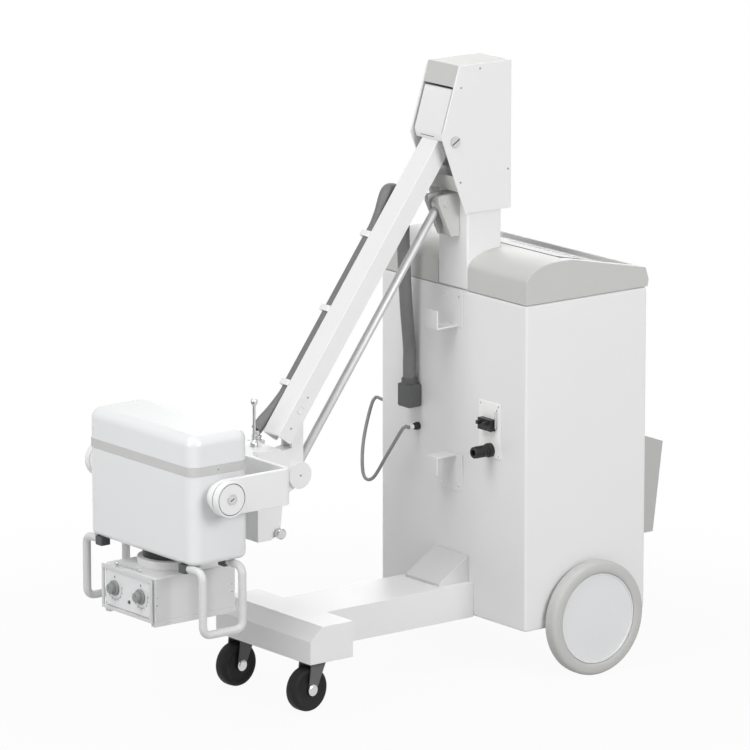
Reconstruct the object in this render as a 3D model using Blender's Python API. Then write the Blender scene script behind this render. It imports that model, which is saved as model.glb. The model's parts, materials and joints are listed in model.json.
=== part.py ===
# Mobile ward x-ray unit: cabinet on two rear wheels and two casters, with a parallelogram arm
# that carries a tube head in a yoke. Metres, +Z up, front towards -Y, +X on the unit's right.
# Heights are measured from the floor, and Y from the cabinet's front face. The empty "unit"
# then moves the whole machine so that the origin is under the middle of its outline.

import math
from math import cos, pi, radians, sin

import bmesh
import bpy
from mathutils import Matrix, Vector

for old in list(bpy.data.objects):
    bpy.data.objects.remove(old, do_unlink=True)

# General values
GAP = 0.0003            # between neighbours that touch
RUN = 0.005             # between pieces that move past each other
PIN_PLAY = 0.0025       # beside a pin or rod
SHEET = 0.003           # folded sheet metal
SEAT = 0.001            # depth of the seats that locate what is bolted on
FINE = 32               # sides of a large round
PLAIN = 20              # sides of a small round

# Cabinet
CAB_HALF = 0.260
CAB_DEEP = 0.348
CAB_LOW = 0.117
CAB_TOP = 0.860
CAB_EDGE = 0.008
COVER_NOSE = 0.907      # top of the cover's upright front
COVER_CREST = 0.949
COVER_CREST_Y = 0.094
COVER_FALL_Y = 0.129    # where the slope to the rear starts
COVER_REAR = 0.904
COVER_CHEEK = 0.030     # grey cheek each side of the panel
PANEL_SINK = 0.010      # panel face below the cheeks
PANEL_THICK = 0.004
PANEL_START_Y = 0.122
DISPLAY_SIZE = (0.300, 0.070)

# Base
BEAM_HALF = 0.0785
BASE_LOW = 0.1145
BASE_TOP = 0.196
CROSS_HALF = 0.174
CROSS_FRONT = -0.531
CROSS_REAR = -0.414
CROSS_NOSE = 0.166      # top of the crossbeam's upright front
CROSS_RIDGE = -0.497    # where its chamfer meets the top
FAIRING = (0.060, 0.085, 0.060)   # half width, reach forward, height above the beam

# Rear wheels
WHEEL_R = 0.1305
WHEEL_Y = 0.179
WHEEL_IN = CAB_HALF + RUN + 0.001
WHEEL_WIDE = 0.038
WHEEL_OUT = WHEEL_IN + WHEEL_WIDE
WHEEL_RIM_R = 0.103
AXLE_R = 0.012
AXLE_COLLAR_R = 0.020
AXLE_TIP = WHEEL_OUT - 0.014

# Casters
CASTER_R = 0.050
CASTER_WIDE = 0.032
CASTER_X = 0.130
CASTER_Y = -0.484
CASTER_TRAIL = 0.027
CASTER_TURN = radians(5)
CASTER_PLATE = (0.030, 0.034, 0.004)   # half width, half length, thickness
CASTER_CROWN = 0.0045
CASTER_AXLE_R = 0.006

# Column and mast head
COL_HALF = 0.0525
COL_DEEP = 0.096
COL_TOP = 1.130
MAST_OUT = 0.057
MAST_WALL = 0.004
MAST_FRONT = [(-0.009, 1.035), (-0.034, 1.099), (-0.077, 1.214), (-0.028, 1.369)]
MAST_BACK_Y = 0.119
CAP_LIP = MAST_FRONT[3][1] - 0.047   # lower edge of the cap's front
APRON = (1.085, 1.122)

# Arm: a parallelogram of arm and levelling rod
ARM_TOP = (-0.040, 1.201)
ARM_LONG = 0.688
ARM_DIP = radians(53.8)
ARM_LOW_Y = ARM_TOP[0] - ARM_LONG * cos(ARM_DIP)
ARM_LOW_Z = ARM_TOP[1] - ARM_LONG * sin(ARM_DIP)
LINK_DROP = 0.146
ARM_HALF = 0.0285
ARM_DEEP = 0.042
ARM_TAIL = 0.025        # behind the top pivot
ARM_NOSE = 0.075        # past the lower pivot
ARM_WALL = 0.004
ARM_SLOT = 0.048        # solid part stops this far before the lower pivot
ARM_PIN_R = 0.010
SHROUD_HALF = MAST_OUT - MAST_WALL - RUN
ROD_R = 0.0095
ROD_EYE_R = 0.016
ROD_PIN_R = 0.006
BRACKET_HALF = 0.025

# Conduit from the cabinet to the tube head
CONDUIT_R = 0.0145
CONDUIT_UP = 0.004      # above the arm's centreline
CONDUIT_X = -ARM_HALF - 0.002 - CONDUIT_R
CLIP_PLACES = (0.262, 0.452, ARM_LONG - 0.048)
ELBOW_BOX = ((-0.154, -0.038, 0.566), (-0.110, -GAP, 0.632))
GLAND_R = 0.0115
EAR_LIP = 0.001         # gland's ear above the carrier's top
CABLE_R = 0.004
CABLE_GLAND_R = 0.009
SIDE_GLAND_AT = (0.030, 0.545)

# Swivel of the yoke, from the arm's lower pivot and to the whole millimetre
YOKE_REAR = round(ARM_LOW_Y - 0.1707, 3)
SWIVEL_Z = round(ARM_LOW_Z - 0.1058, 3)

# Carrier at the arm's lower end
LINK_HALF = 0.0195
LINK_PIN_R = 0.008
HUB_R = 0.030
HUB_HALF = 0.028
BODY_HALF = 0.050
BODY_FRONT = YOKE_REAR + 0.111
BODY_LOW = SWIVEL_Z - 0.167
BODY_TOP = SWIVEL_Z + 0.035
FLANGE_R = 0.045
SPIGOT_R = 0.020
LEVER_Y = YOKE_REAR + 0.065
GLAND_AT = (-0.045, YOKE_REAR + 0.105)

# Yoke
YOKE_BAR = 0.012
YOKE_HIGH = 0.080
YOKE_OUT = 0.226
YOKE_BEND = 0.020

# Tube head
TILT_Y = YOKE_REAR - 0.176
HEAD_HALF = 0.194
HEAD_FRONT = TILT_Y - 0.069
HEAD_REAR = TILT_Y + 0.087
HEAD_LOW = SWIVEL_Z - 0.150
HEAD_TOP = SWIVEL_Z + 0.135
HEAD_CORNER = 0.028
BAND_LOW = SWIVEL_Z + 0.047
BAND_HIGH = BAND_LOW + 0.020
HUB_DISC_R = 0.040
HUB_DISC_OUT = YOKE_OUT + 0.019
HUB_SHAFT_R = 0.015
HANDLE_R = 0.009
HANDLE_X = 0.215
HANDLE_Y = (TILT_Y - 0.057, TILT_Y + 0.048)
HANDLE_LOW = SWIVEL_Z - 0.298
HANDLE_TUCK = 0.150
HANDLE_BEND = 0.022

# Collimator
COLL_HALF = 0.092
COLL_FRONT = TILT_Y - 0.101
COLL_REAR = TILT_Y + 0.121
COLL_LOW = SWIVEL_Z - 0.299
COLL_TOP = SWIVEL_Z - 0.190
COLLAR_R = 0.070
KNOB_REACH = 0.016
KNOB_R = 0.017
KNOB_AT = (0.048, COLL_LOW + 0.061)

# Cassette bin
BIN_HALF = 0.200
BIN_OUTLINE = [(CAB_DEEP, 0.518), (CAB_DEEP, 0.274), (0.421, 0.274), (0.448, 0.480), (0.400, 0.498)]

REAR_REACH = BIN_OUTLINE[3][0]
FRONT_REACH = COLL_FRONT - KNOB_REACH
SHIFT_Y = -(FRONT_REACH + REAR_REACH) / 2

# Places worked out from those values
ARM_DIR = Vector((0.0, -cos(ARM_DIP), -sin(ARM_DIP)))
ARM_UP = Vector((0.0, -sin(ARM_DIP), cos(ARM_DIP)))
TOP_PIVOT = Vector((0.0, *ARM_TOP))
ROD_TOP = TOP_PIVOT - Vector((0.0, 0.0, LINK_DROP))
LOW_PIVOT = TOP_PIVOT + ARM_DIR * ARM_LONG
ROD_LOW = ROD_TOP + ARM_DIR * ARM_LONG

unit = bpy.data.objects.new("unit", None)
unit.location = (0.0, SHIFT_Y, 0.0)
bpy.context.scene.collection.objects.link(unit)


def material(name, colour, roughness, metallic=0.0):
    made = bpy.data.materials.new(name)
    made.use_nodes = True
    shader = made.node_tree.nodes["Principled BSDF"]
    shader.inputs["Base Color"].default_value = (*colour, 1.0)
    shader.inputs["Roughness"].default_value = roughness
    shader.inputs["Metallic"].default_value = metallic
    return made


WHITE = material("white_paint", (0.86, 0.86, 0.86), 0.4)
GREY = material("grey_plastic", (0.50, 0.51, 0.52), 0.5)
PALE = material("pale_grey", (0.72, 0.72, 0.73), 0.45)
BLACK = material("black_plastic", (0.03, 0.03, 0.03), 0.5)
TYRE = material("grey_tyre", (0.45, 0.46, 0.46), 0.8)
STEEL = material("bright_steel", (0.75, 0.75, 0.76), 0.25, 1.0)
HOSE = material("grey_hose", (0.35, 0.35, 0.36), 0.6)


# Building blocks

def place(name, mesh, finish):
    piece = bpy.data.objects.new(name, mesh)
    bpy.context.scene.collection.objects.link(piece)
    piece.parent = unit
    piece.data.materials.append(finish)
    return piece


def finish_mesh(name, work, finish, smooth=False):
    bmesh.ops.recalc_face_normals(work, faces=work.faces)
    mesh = bpy.data.meshes.new(name)
    work.to_mesh(mesh)
    work.free()
    if smooth:
        mesh.shade_smooth()
        mesh.set_sharp_from_angle(angle=radians(35))
    return place(name, mesh, finish)


def to_space(axis, a, b, along):
    """A point from its two outline values and its place along the axis."""
    if axis == "X":
        return Vector((along, a, b))
    if axis == "Y":
        return Vector((a, along, b))
    return Vector((a, b, along))


def prism(name, axis, outline, low, high, finish, smooth=False):
    """An outline, extruded from low to high along an axis."""
    work = bmesh.new()
    base = [work.verts.new(to_space(axis, a, b, low)) for a, b in outline]
    face = work.faces.new(base)
    grown = bmesh.ops.extrude_face_region(work, geom=[face])
    moved = [v for v in grown["geom"] if isinstance(v, bmesh.types.BMVert)]
    bmesh.ops.translate(work, verts=moved, vec=to_space(axis, 0.0, 0.0, high - low))
    return finish_mesh(name, work, finish, smooth)


def box(name, low, high, finish, edge=0.0, steps=2):
    """A block between two corners, with all its edges rounded by edge."""
    work = bmesh.new()
    bmesh.ops.create_cube(work, size=1.0)
    middle = (Vector(low) + Vector(high)) / 2
    size = Vector(high) - Vector(low)
    bmesh.ops.transform(work, verts=work.verts, matrix=Matrix.LocRotScale(middle, None, size))
    if edge:
        bmesh.ops.bevel(work, geom=work.edges[:], offset=edge, segments=steps, affect="EDGES", profile=0.5)
    return finish_mesh(name, work, finish, bool(edge))


def turned(name, axis, centre, profile, finish, sides=FINE):
    """A profile of (radius, place along the axis), turned about the axis through centre."""
    work = bmesh.new()
    rings = []
    for radius, along in profile:
        ring = []
        for k in range(sides):
            turn = 2 * pi * k / sides
            ring.append(to_space(axis, radius * cos(turn), radius * sin(turn), along))
        rings.append([work.verts.new(p + Vector(centre)) for p in ring])
    for first, second in zip(rings, rings[1:]):
        for k in range(sides):
            n = (k + 1) % sides
            work.faces.new((first[k], first[n], second[n], second[k]))
    if profile[0] == profile[-1]:
        bmesh.ops.remove_doubles(work, verts=rings[0] + rings[-1], dist=1e-6)
    else:
        work.faces.new(rings[0])
        work.faces.new(rings[-1])
    return finish_mesh(name, work, finish, True)


def rod_between(name, axis, centre, radius, low, high, finish, sides=PLAIN):
    """A plain cylinder along an axis."""
    return turned(name, axis, centre, [(radius, low), (radius, high)], finish, sides)


def rounded(points, radius, steps=4):
    """An outline with each corner made an arc of the given radius."""
    out = []
    count = len(points)
    for k in range(count):
        here = Vector(points[k])
        before = (Vector(points[k - 1]) - here).normalized()
        after = (Vector(points[(k + 1) % count]) - here).normalized()
        half = before.angle(after) / 2
        reach = radius / math.tan(half)
        start = here + before * reach
        end = here + after * reach
        for s in range(steps + 1):
            u = s / steps
            point = start * (1 - u) ** 2 + here * 2 * u * (1 - u) + end * u ** 2
            out.append((point.x, point.y))
    return out


def arc(centre, radius, start, end, steps):
    """Points on an arc, with angles in degrees."""
    points = []
    for s in range(steps + 1):
        turn = radians(start + (end - start) * s / steps)
        points.append((centre[0] + radius * cos(turn), centre[1] + radius * sin(turn)))
    return points


def hide(helper):
    helper.hide_render = True
    helper.display_type = "WIRE"


def combine(piece, other, how):
    """Cut another shape from a piece, or add it, and keep that shape as a hidden guide."""
    step = piece.modifiers.new(how.lower(), "BOOLEAN")
    step.operation = how
    step.solver = "EXACT"
    step.object = other
    hide(other)


def cut(piece, *others):
    for other in others:
        combine(piece, other, "DIFFERENCE")


def add(piece, *others):
    for other in others:
        combine(piece, other, "UNION")


def pivot(piece, point):
    """Put a piece's origin on its joint's axis and leave its shape where it is."""
    point = Vector(point)
    piece.data.transform(Matrix.Translation(-point))
    piece.location = point


def tube(name, points, radius, finish, resolution=3):
    """A round tube along a path, as a curve with filled caps."""
    curve = bpy.data.curves.new(name, "CURVE")
    curve.dimensions = "3D"
    curve.bevel_depth = radius
    curve.bevel_resolution = resolution
    curve.use_fill_caps = True
    spline = curve.splines.new("POLY")
    spline.points.add(len(points) - 1)
    for slot, point in zip(spline.points, points):
        slot.co = (*point, 1.0)
    curve.materials.append(finish)
    piece = bpy.data.objects.new(name, curve)
    bpy.context.scene.collection.objects.link(piece)
    piece.parent = unit
    return piece


def smooth_path(route, spacing):
    """Points about one spacing apart on a smooth curve through the route's own points."""
    route = [Vector(p) for p in route]
    ends = [route[0] * 2 - route[1]] + route + [route[-1] * 2 - route[-2]]
    out = [route[0]]
    for k in range(1, len(ends) - 2):
        p0, p1, p2, p3 = ends[k - 1:k + 3]
        steps = max(2, round((p2 - p1).length / spacing))
        for s in range(1, steps + 1):
            u = s / steps
            out.append(0.5 * (2 * p1 + (p2 - p0) * u + (2 * p0 - 5 * p1 + 4 * p2 - p3) * u ** 2
                              + (3 * p1 - p0 - 3 * p2 + p3) * u ** 3))
    return out


def bent_path(corners, bend, steps=4):
    """A path of straight runs with its corners rounded."""
    corners = [Vector(c) for c in corners]
    out = [corners[0]]
    for before, here, after in zip(corners, corners[1:], corners[2:]):
        start = here + (before - here).normalized() * bend
        end = here + (after - here).normalized() * bend
        for s in range(steps + 1):
            u = s / steps
            out.append(start * (1 - u) ** 2 + here * 2 * u * (1 - u) + end * u ** 2)
    out.append(corners[-1])
    return out


def on_arm(along, up):
    """Y and Z of a point from its distance down the arm and above the arm's centreline."""
    point = TOP_PIVOT + ARM_DIR * along + ARM_UP * up
    return (point.y, point.z)


# Base

def make_base():
    cross = [(CROSS_FRONT, BASE_LOW), (CROSS_REAR, BASE_LOW), (CROSS_REAR, BASE_TOP),
             (CROSS_RIDGE, BASE_TOP), (CROSS_FRONT, CROSS_NOSE)]
    base = prism("base_frame", "X", cross, -CROSS_HALF, CROSS_HALF, WHITE)
    beam_low = CAB_LOW
    middle = (CROSS_FRONT + CROSS_REAR) / 2
    add(base, box("beam_guide", (-BEAM_HALF, middle, beam_low), (BEAM_HALF, -GAP, BASE_TOP), WHITE))
    half, reach, high = FAIRING
    cut(base, box("fairing_seat_guide", (-half - GAP, -reach - GAP, BASE_TOP - SEAT),
                  (half + GAP, SEAT, BASE_TOP + SEAT), WHITE))
    foot = BASE_TOP - SEAT + GAP
    wedge = [(-GAP, foot), (-reach, foot), (-reach, BASE_TOP + 0.006), (-GAP, BASE_TOP + high)]
    prism("base_fairing", "X", wedge, -half, half, PALE)


def make_cabinet():
    cabinet = box("cabinet", (-CAB_HALF, 0.0, CAB_LOW), (CAB_HALF, CAB_DEEP, CAB_TOP), WHITE, CAB_EDGE)
    bin_high, bin_low = BIN_OUTLINE[0][1] + GAP, BIN_OUTLINE[1][1] - GAP
    cut(cabinet, box("bin_seat_guide", (-BIN_HALF - GAP, CAB_DEEP - SEAT, bin_low),
                     (BIN_HALF + GAP, CAB_DEEP + SEAT, bin_high), WHITE))
    for name, sign in (("right", 1), ("left", -1)):
        cut(cabinet, rod_between("axle_seat_guide_" + name, "X", (0.0, WHEEL_Y, WHEEL_R),
                                 AXLE_COLLAR_R + GAP, sign * (CAB_HALF - SEAT), sign * (CAB_HALF + SEAT),
                                 WHITE))
    cut(cabinet, rod_between("gland_seat_guide", "X", (0.0, *SIDE_GLAND_AT), CABLE_GLAND_R + GAP,
                             -CAB_HALF - SEAT, -CAB_HALF + SEAT, WHITE, 16))
    low = CAB_TOP + GAP
    nose = arc((COVER_CREST_Y, COVER_NOSE), 1.0, 178, 90, 6)
    shape = [(0.0, low)]
    for a, b in nose:
        shape.append((COVER_CREST_Y + (a - COVER_CREST_Y) * COVER_CREST_Y,
                      COVER_NOSE + (b - COVER_NOSE) * (COVER_CREST - COVER_NOSE)))
    shape += [(COVER_FALL_Y, COVER_CREST - 0.001), (CAB_DEEP - 0.006, COVER_REAR),
              (CAB_DEEP + 0.003, COVER_REAR - 0.028), (CAB_DEEP, low)]
    cover = prism("top_cover", "X", shape, -CAB_HALF, CAB_HALF, GREY)
    slope = (COVER_REAR - COVER_CREST) / (CAB_DEEP - 0.006 - COVER_FALL_Y)

    def fall(y, down):
        return COVER_CREST + slope * (y - COVER_FALL_Y) - down

    ends = (PANEL_START_Y, CAB_DEEP - 0.020)
    deep = PANEL_SINK + PANEL_THICK + GAP
    inner = CAB_HALF - COVER_CHEEK
    sunk = [(ends[0], fall(ends[0], deep)), (ends[1], fall(ends[1], deep)), (ends[1], 1.0), (ends[0], 1.0)]
    cut(cover, prism("panel_recess_guide", "X", sunk, -inner, inner, GREY))
    slot = COL_HALF + GAP
    cut(cover, box("column_slot_guide", (-slot, -0.01, CAB_TOP - 0.01), (slot, COL_DEEP + GAP, 1.0), GREY))
    y0, y1 = ends[0] + GAP, ends[1] - GAP
    slab = [(y0, fall(y0, deep - GAP)), (y1, fall(y1, deep - GAP)),
            (y1, fall(y1, PANEL_SINK)), (y0, fall(y0, PANEL_SINK))]
    prism("control_panel", "X", slab, -inner + GAP, inner - GAP, WHITE)
    middle = (y0 + y1) / 2 - 0.015
    a, b = middle - DISPLAY_SIZE[1] / 2, middle + DISPLAY_SIZE[1] / 2
    glass = [(a, fall(a, PANEL_SINK - GAP)), (b, fall(b, PANEL_SINK - GAP)),
             (b, fall(b, PANEL_SINK - 0.003)), (a, fall(a, PANEL_SINK - 0.003))]
    prism("display_window", "X", glass, -DISPLAY_SIZE[0] / 2, DISPLAY_SIZE[0] / 2, BLACK)


def make_bin():
    back = CAB_DEEP - SEAT + GAP
    shape = [(back, z) if y == CAB_DEEP else (y, z) for y, z in BIN_OUTLINE]
    tray = prism("cassette_bin", "X", shape, -BIN_HALF, BIN_HALF, GREY)
    wall = SHEET
    hollow = [(back + wall, 0.60), (back + wall, BIN_OUTLINE[1][1] + wall),
              (BIN_OUTLINE[2][0] - wall, BIN_OUTLINE[2][1] + wall),
              (BIN_OUTLINE[3][0] - wall + 0.0157, 0.60)]
    cut(tray, prism("bin_hollow_guide", "X", hollow, -BIN_HALF + wall, BIN_HALF - wall, GREY))


def make_rear_wheels():
    for side, sign in (("right", 1), ("left", -1)):
        centre = (0.0, WHEEL_Y, WHEEL_R)
        wide = WHEEL_OUT - WHEEL_IN
        tread = WHEEL_IN + wide * 0.16, WHEEL_OUT - wide * 0.16
        inner_r = WHEEL_RIM_R + GAP
        tyre = turned("rear_tyre_" + side, "X", centre, [
            (inner_r, sign * (WHEEL_IN + 0.002)), (WHEEL_R - 0.008, sign * (WHEEL_IN + 0.002)),
            (WHEEL_R - 0.001, sign * tread[0]), (WHEEL_R, sign * (tread[0] + 0.004)),
            (WHEEL_R, sign * (tread[1] - 0.004)), (WHEEL_R - 0.001, sign * tread[1]),
            (WHEEL_R - 0.008, sign * (WHEEL_OUT - 0.002)), (inner_r, sign * (WHEEL_OUT - 0.004)),
            (inner_r, sign * (WHEEL_IN + 0.002))], TYRE, 56)
        hub = turned("rear_hub_" + side, "X", centre, [
            (AXLE_R + GAP, sign * (WHEEL_IN + 0.004)), (WHEEL_RIM_R - 0.004, sign * (WHEEL_IN + 0.004)),
            (WHEEL_RIM_R, sign * (WHEEL_IN + 0.008)), (WHEEL_RIM_R, sign * (WHEEL_OUT - 0.007)),
            (WHEEL_RIM_R - 0.006, sign * (WHEEL_OUT - 0.003)), (0.034, sign * (WHEEL_OUT - 0.003)),
            (0.030, sign * WHEEL_OUT), (0.004, sign * WHEEL_OUT), (0.004, sign * (AXLE_TIP + 0.001)),
            (AXLE_R + GAP, sign * (AXLE_TIP + 0.001)), (AXLE_R + GAP, sign * (WHEEL_IN + 0.004))],
            WHITE, 40)
        for piece in (tyre, hub):
            pivot(piece, (sign * (WHEEL_IN + WHEEL_OUT) / 2, WHEEL_Y, WHEEL_R))
        turned("rear_axle_" + side, "X", centre, [
            (AXLE_COLLAR_R, sign * (CAB_HALF - SEAT + GAP)), (AXLE_COLLAR_R, sign * (WHEEL_IN + 0.002)),
            (AXLE_R, sign * (WHEEL_IN + 0.002)), (AXLE_R, sign * AXLE_TIP)], STEEL, PLAIN)


def make_casters():
    half_w, half_l, thick = CASTER_PLATE
    plate_low = BASE_LOW - GAP - thick
    crown_top = plate_low - GAP
    leg_in = CASTER_WIDE / 2 + 0.002
    for side, sign in (("right", 1), ("left", -1)):
        stem = Vector((sign * CASTER_X, CASTER_Y, 0.0))
        box("caster_plate_" + side, (stem.x - half_w, stem.y - half_l, plate_low),
            (stem.x + half_w, stem.y + half_l, plate_low + thick), BLACK)
        crown = crown_top - CASTER_CROWN
        fork = turned("caster_fork_" + side, "Z", stem, [(0.024, crown), (0.024, crown_top)], BLACK, PLAIN)
        out = leg_in + 0.003
        bridge = box("caster_bridge_guide_" + side, (stem.x - out, stem.y - 0.030, crown),
                     (stem.x + out, stem.y + 0.012, crown_top - 0.001), BLACK)
        add(fork, bridge)
        axle = stem + Vector((0.0, -CASTER_TRAIL, CASTER_R))
        leg = [(stem.y + 0.012, crown + 0.002), (stem.y - 0.030, crown + 0.002)]
        leg += arc((axle.y, axle.z), 0.011, 180, 330, 6)
        for name, x in (("in", -out), ("out", leg_in)):
            at = stem.x + x
            add(fork, prism("caster_leg_guide_" + name + side, "X", leg, at, at + 0.003, BLACK))
        add(fork, rod_between("caster_axle_guide_" + side, "X", (stem.x, axle.y, axle.z), CASTER_AXLE_R,
                              -out - 0.002, out + 0.002, BLACK, 16))
        half = CASTER_WIDE / 2
        bore = CASTER_AXLE_R + GAP
        wheel = turned("caster_wheel_" + side, "X", (stem.x, axle.y, axle.z), [
            (bore, -half), (CASTER_R - 0.008, -half), (CASTER_R, -half + 0.007), (CASTER_R, half - 0.007),
            (CASTER_R - 0.008, half), (bore, half), (bore, -half)], BLACK, 40)
        pivot(fork, (stem.x, stem.y, axle.z))
        pivot(wheel, (stem.x, axle.y, axle.z))
        turn = Matrix.Translation(stem) @ Matrix.Rotation(CASTER_TURN, 4, "Z") @ Matrix.Translation(-stem)
        guides = [o for o in bpy.data.objects if o.name.startswith("caster_") and "guide" in o.name
                  and o.name.endswith(side)]
        for piece in (fork, wheel, *guides):
            piece.matrix_basis = turn @ piece.matrix_basis


# Column and mast head

def make_column():
    column = box("column", (-COL_HALF, 0.0, CAB_TOP + GAP), (COL_HALF, COL_DEEP, COL_TOP), WHITE, 0.003, 1)
    shape = MAST_FRONT + [(MAST_BACK_Y, MAST_FRONT[3][1]), (MAST_BACK_Y, MAST_FRONT[0][1])]
    head = prism("mast_head", "X", shape, -MAST_OUT, MAST_OUT, WHITE)
    inner = MAST_OUT - MAST_WALL
    back = MAST_BACK_Y - MAST_WALL
    cut(head, box("mast_hollow_guide", (-inner, -0.2, 0.9), (inner, back, 1.5), WHITE))
    top = MAST_FRONT[3][1]
    lean = (MAST_FRONT[2][0] - MAST_FRONT[3][0]) / (MAST_FRONT[3][1] - MAST_FRONT[2][1])
    lip_y = MAST_FRONT[3][0] + lean * (top - CAP_LIP)
    wall = MAST_WALL
    cap = [(back - GAP, top), (MAST_FRONT[3][0] + 0.001, top), (lip_y + 0.001, CAP_LIP),
           (lip_y + 0.001 + wall, CAP_LIP), (MAST_FRONT[3][0] + 0.002 + wall, top - wall),
           (back - GAP, top - wall)]
    prism("mast_cap", "X", cap, -inner + GAP, inner - GAP, GREY)
    low, high = APRON
    slope = (MAST_FRONT[2][0] - MAST_FRONT[1][0]) / (MAST_FRONT[2][1] - MAST_FRONT[1][1])
    kink = MAST_FRONT[1]
    apron = [(kink[0] + 0.009, low), (kink[0] + 0.003, kink[1]),
             (kink[0] + 0.003 + slope * (high - kink[1]), high),
             (kink[0] + 0.006 + slope * (high - kink[1]), high), (kink[0] + 0.007, kink[1]),
             (kink[0] + 0.013, low)]
    prism("mast_apron", "X", apron, -inner + GAP, inner - GAP, GREY)
    pin_end = MAST_OUT + 0.004
    turned("arm_pin", "X", TOP_PIVOT, [
        (0.013, -pin_end), (0.013, -MAST_OUT - GAP), (ARM_PIN_R, -MAST_OUT - GAP),
        (ARM_PIN_R, MAST_OUT + GAP), (0.013, MAST_OUT + GAP), (0.013, pin_end)], STEEL, PLAIN)
    cut(head, rod_between("arm_pin_hole_guide", "X", TOP_PIVOT, ARM_PIN_R + GAP, -0.07, 0.07, WHITE))


def make_rod_bracket():
    shape = [(-GAP, 0.980), (-0.006, 0.980), (-0.025, 0.981), (-0.061, 1.060), (-0.061, 1.075),
             (-GAP, 1.078)]
    bracket = prism("rod_bracket", "X", shape, -BRACKET_HALF, BRACKET_HALF, GREY)
    slot = ROD_R + PIN_PLAY
    clear = ROD_EYE_R + PIN_PLAY
    cut(bracket, box("bracket_slot_guide", (-slot, -0.2, 0.9), (slot, ROD_TOP.y + clear, 1.2), GREY))
    add(bracket, rod_between("bracket_pin_guide", "X", ROD_TOP, ROD_PIN_R,
                             -BRACKET_HALF - 0.003, BRACKET_HALF + 0.003, STEEL, 16))


# Arm

def make_arm():
    high = ARM_DEEP / 2
    end = ARM_LONG + ARM_NOSE
    shape = [on_arm(-ARM_TAIL, -high), on_arm(-ARM_TAIL, high), on_arm(end, high), on_arm(end, -high)]
    arm = prism("arm_beam", "X", rounded(shape, 0.004, 2), -ARM_HALF, ARM_HALF, WHITE)
    slot = LINK_HALF + PIN_PLAY
    start = ARM_LONG - ARM_SLOT
    web = high - ARM_WALL
    gap = [on_arm(start, -high - 0.01), on_arm(start, web), on_arm(end + 0.01, web),
           on_arm(end + 0.01, -high - 0.01)]
    cut(arm, prism("arm_slot_guide", "X", gap, -slot, slot, WHITE))
    cut(arm, rod_between("arm_bore_guide", "X", TOP_PIVOT, ARM_PIN_R + GAP, -0.05, 0.05, WHITE))
    cut(arm, rod_between("arm_low_bore_guide", "X", LOW_PIVOT, LINK_PIN_R + GAP, -0.05, 0.05, WHITE))
    foot = high + GAP
    shroud = [on_arm(0.014, foot), (-0.0715, 1.2225), (-0.0425, 1.3145), (-0.0385, 1.3135),
              (-0.0660, 1.2260), on_arm(-0.008, foot + 0.002), on_arm(-0.008, foot)]
    prism("arm_shroud", "X", shroud, -SHROUD_HALF, SHROUD_HALF, WHITE)
    frame = Matrix.Rotation(ARM_DIP - pi / 2, 4, "X")
    grip = CONDUIT_R + SHEET
    for k, along in enumerate(CLIP_PLACES):
        at = Vector((CONDUIT_X, *on_arm(along, CONDUIT_UP)))
        shape = [(-ARM_HALF - GAP - CONDUIT_X, grip), (-ARM_HALF - GAP - CONDUIT_X, -grip),
                 (-grip, -grip), (-grip, grip)]
        clip = prism("conduit_clip_%d" % (k + 1), "Z", rounded(shape, 0.005, 3), -0.007, 0.007, WHITE)
        hole = rod_between("clip_hole_guide_%d" % (k + 1), "Z", (0.0, 0.0, 0.0), CONDUIT_R + GAP,
                           -0.02, 0.02, WHITE)
        for piece in (clip, hole):
            piece.matrix_basis = Matrix.Translation(at) @ frame
        cut(clip, hole)


def make_rod():
    rod = turned("levelling_rod", "Z", (0.0, 0.0, 0.0), [
        (ROD_R, 0.010), (ROD_R, ARM_LONG - 0.010)], STEEL, PLAIN)
    half = ROD_R - 0.001
    for name, at in (("low", 0.0), ("top", ARM_LONG)):
        add(rod, rod_between("rod_eye_guide_" + name, "X", (0.0, 0.0, at), ROD_EYE_R, -half, half, STEEL))
    bores = [rod_between("rod_bore_guide_" + name, "X", (0.0, 0.0, at), ROD_PIN_R + GAP, -0.02, 0.02, STEEL)
             for name, at in (("low", 0.0), ("top", ARM_LONG))]
    cut(rod, *bores)
    frame = Matrix.Translation(ROD_LOW) @ Matrix.Rotation(ARM_DIP - pi / 2, 4, "X")
    for piece in (rod, *(step.object for step in rod.modifiers)):
        piece.matrix_basis = frame @ piece.matrix_basis


# Carrier, yoke and head

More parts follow.
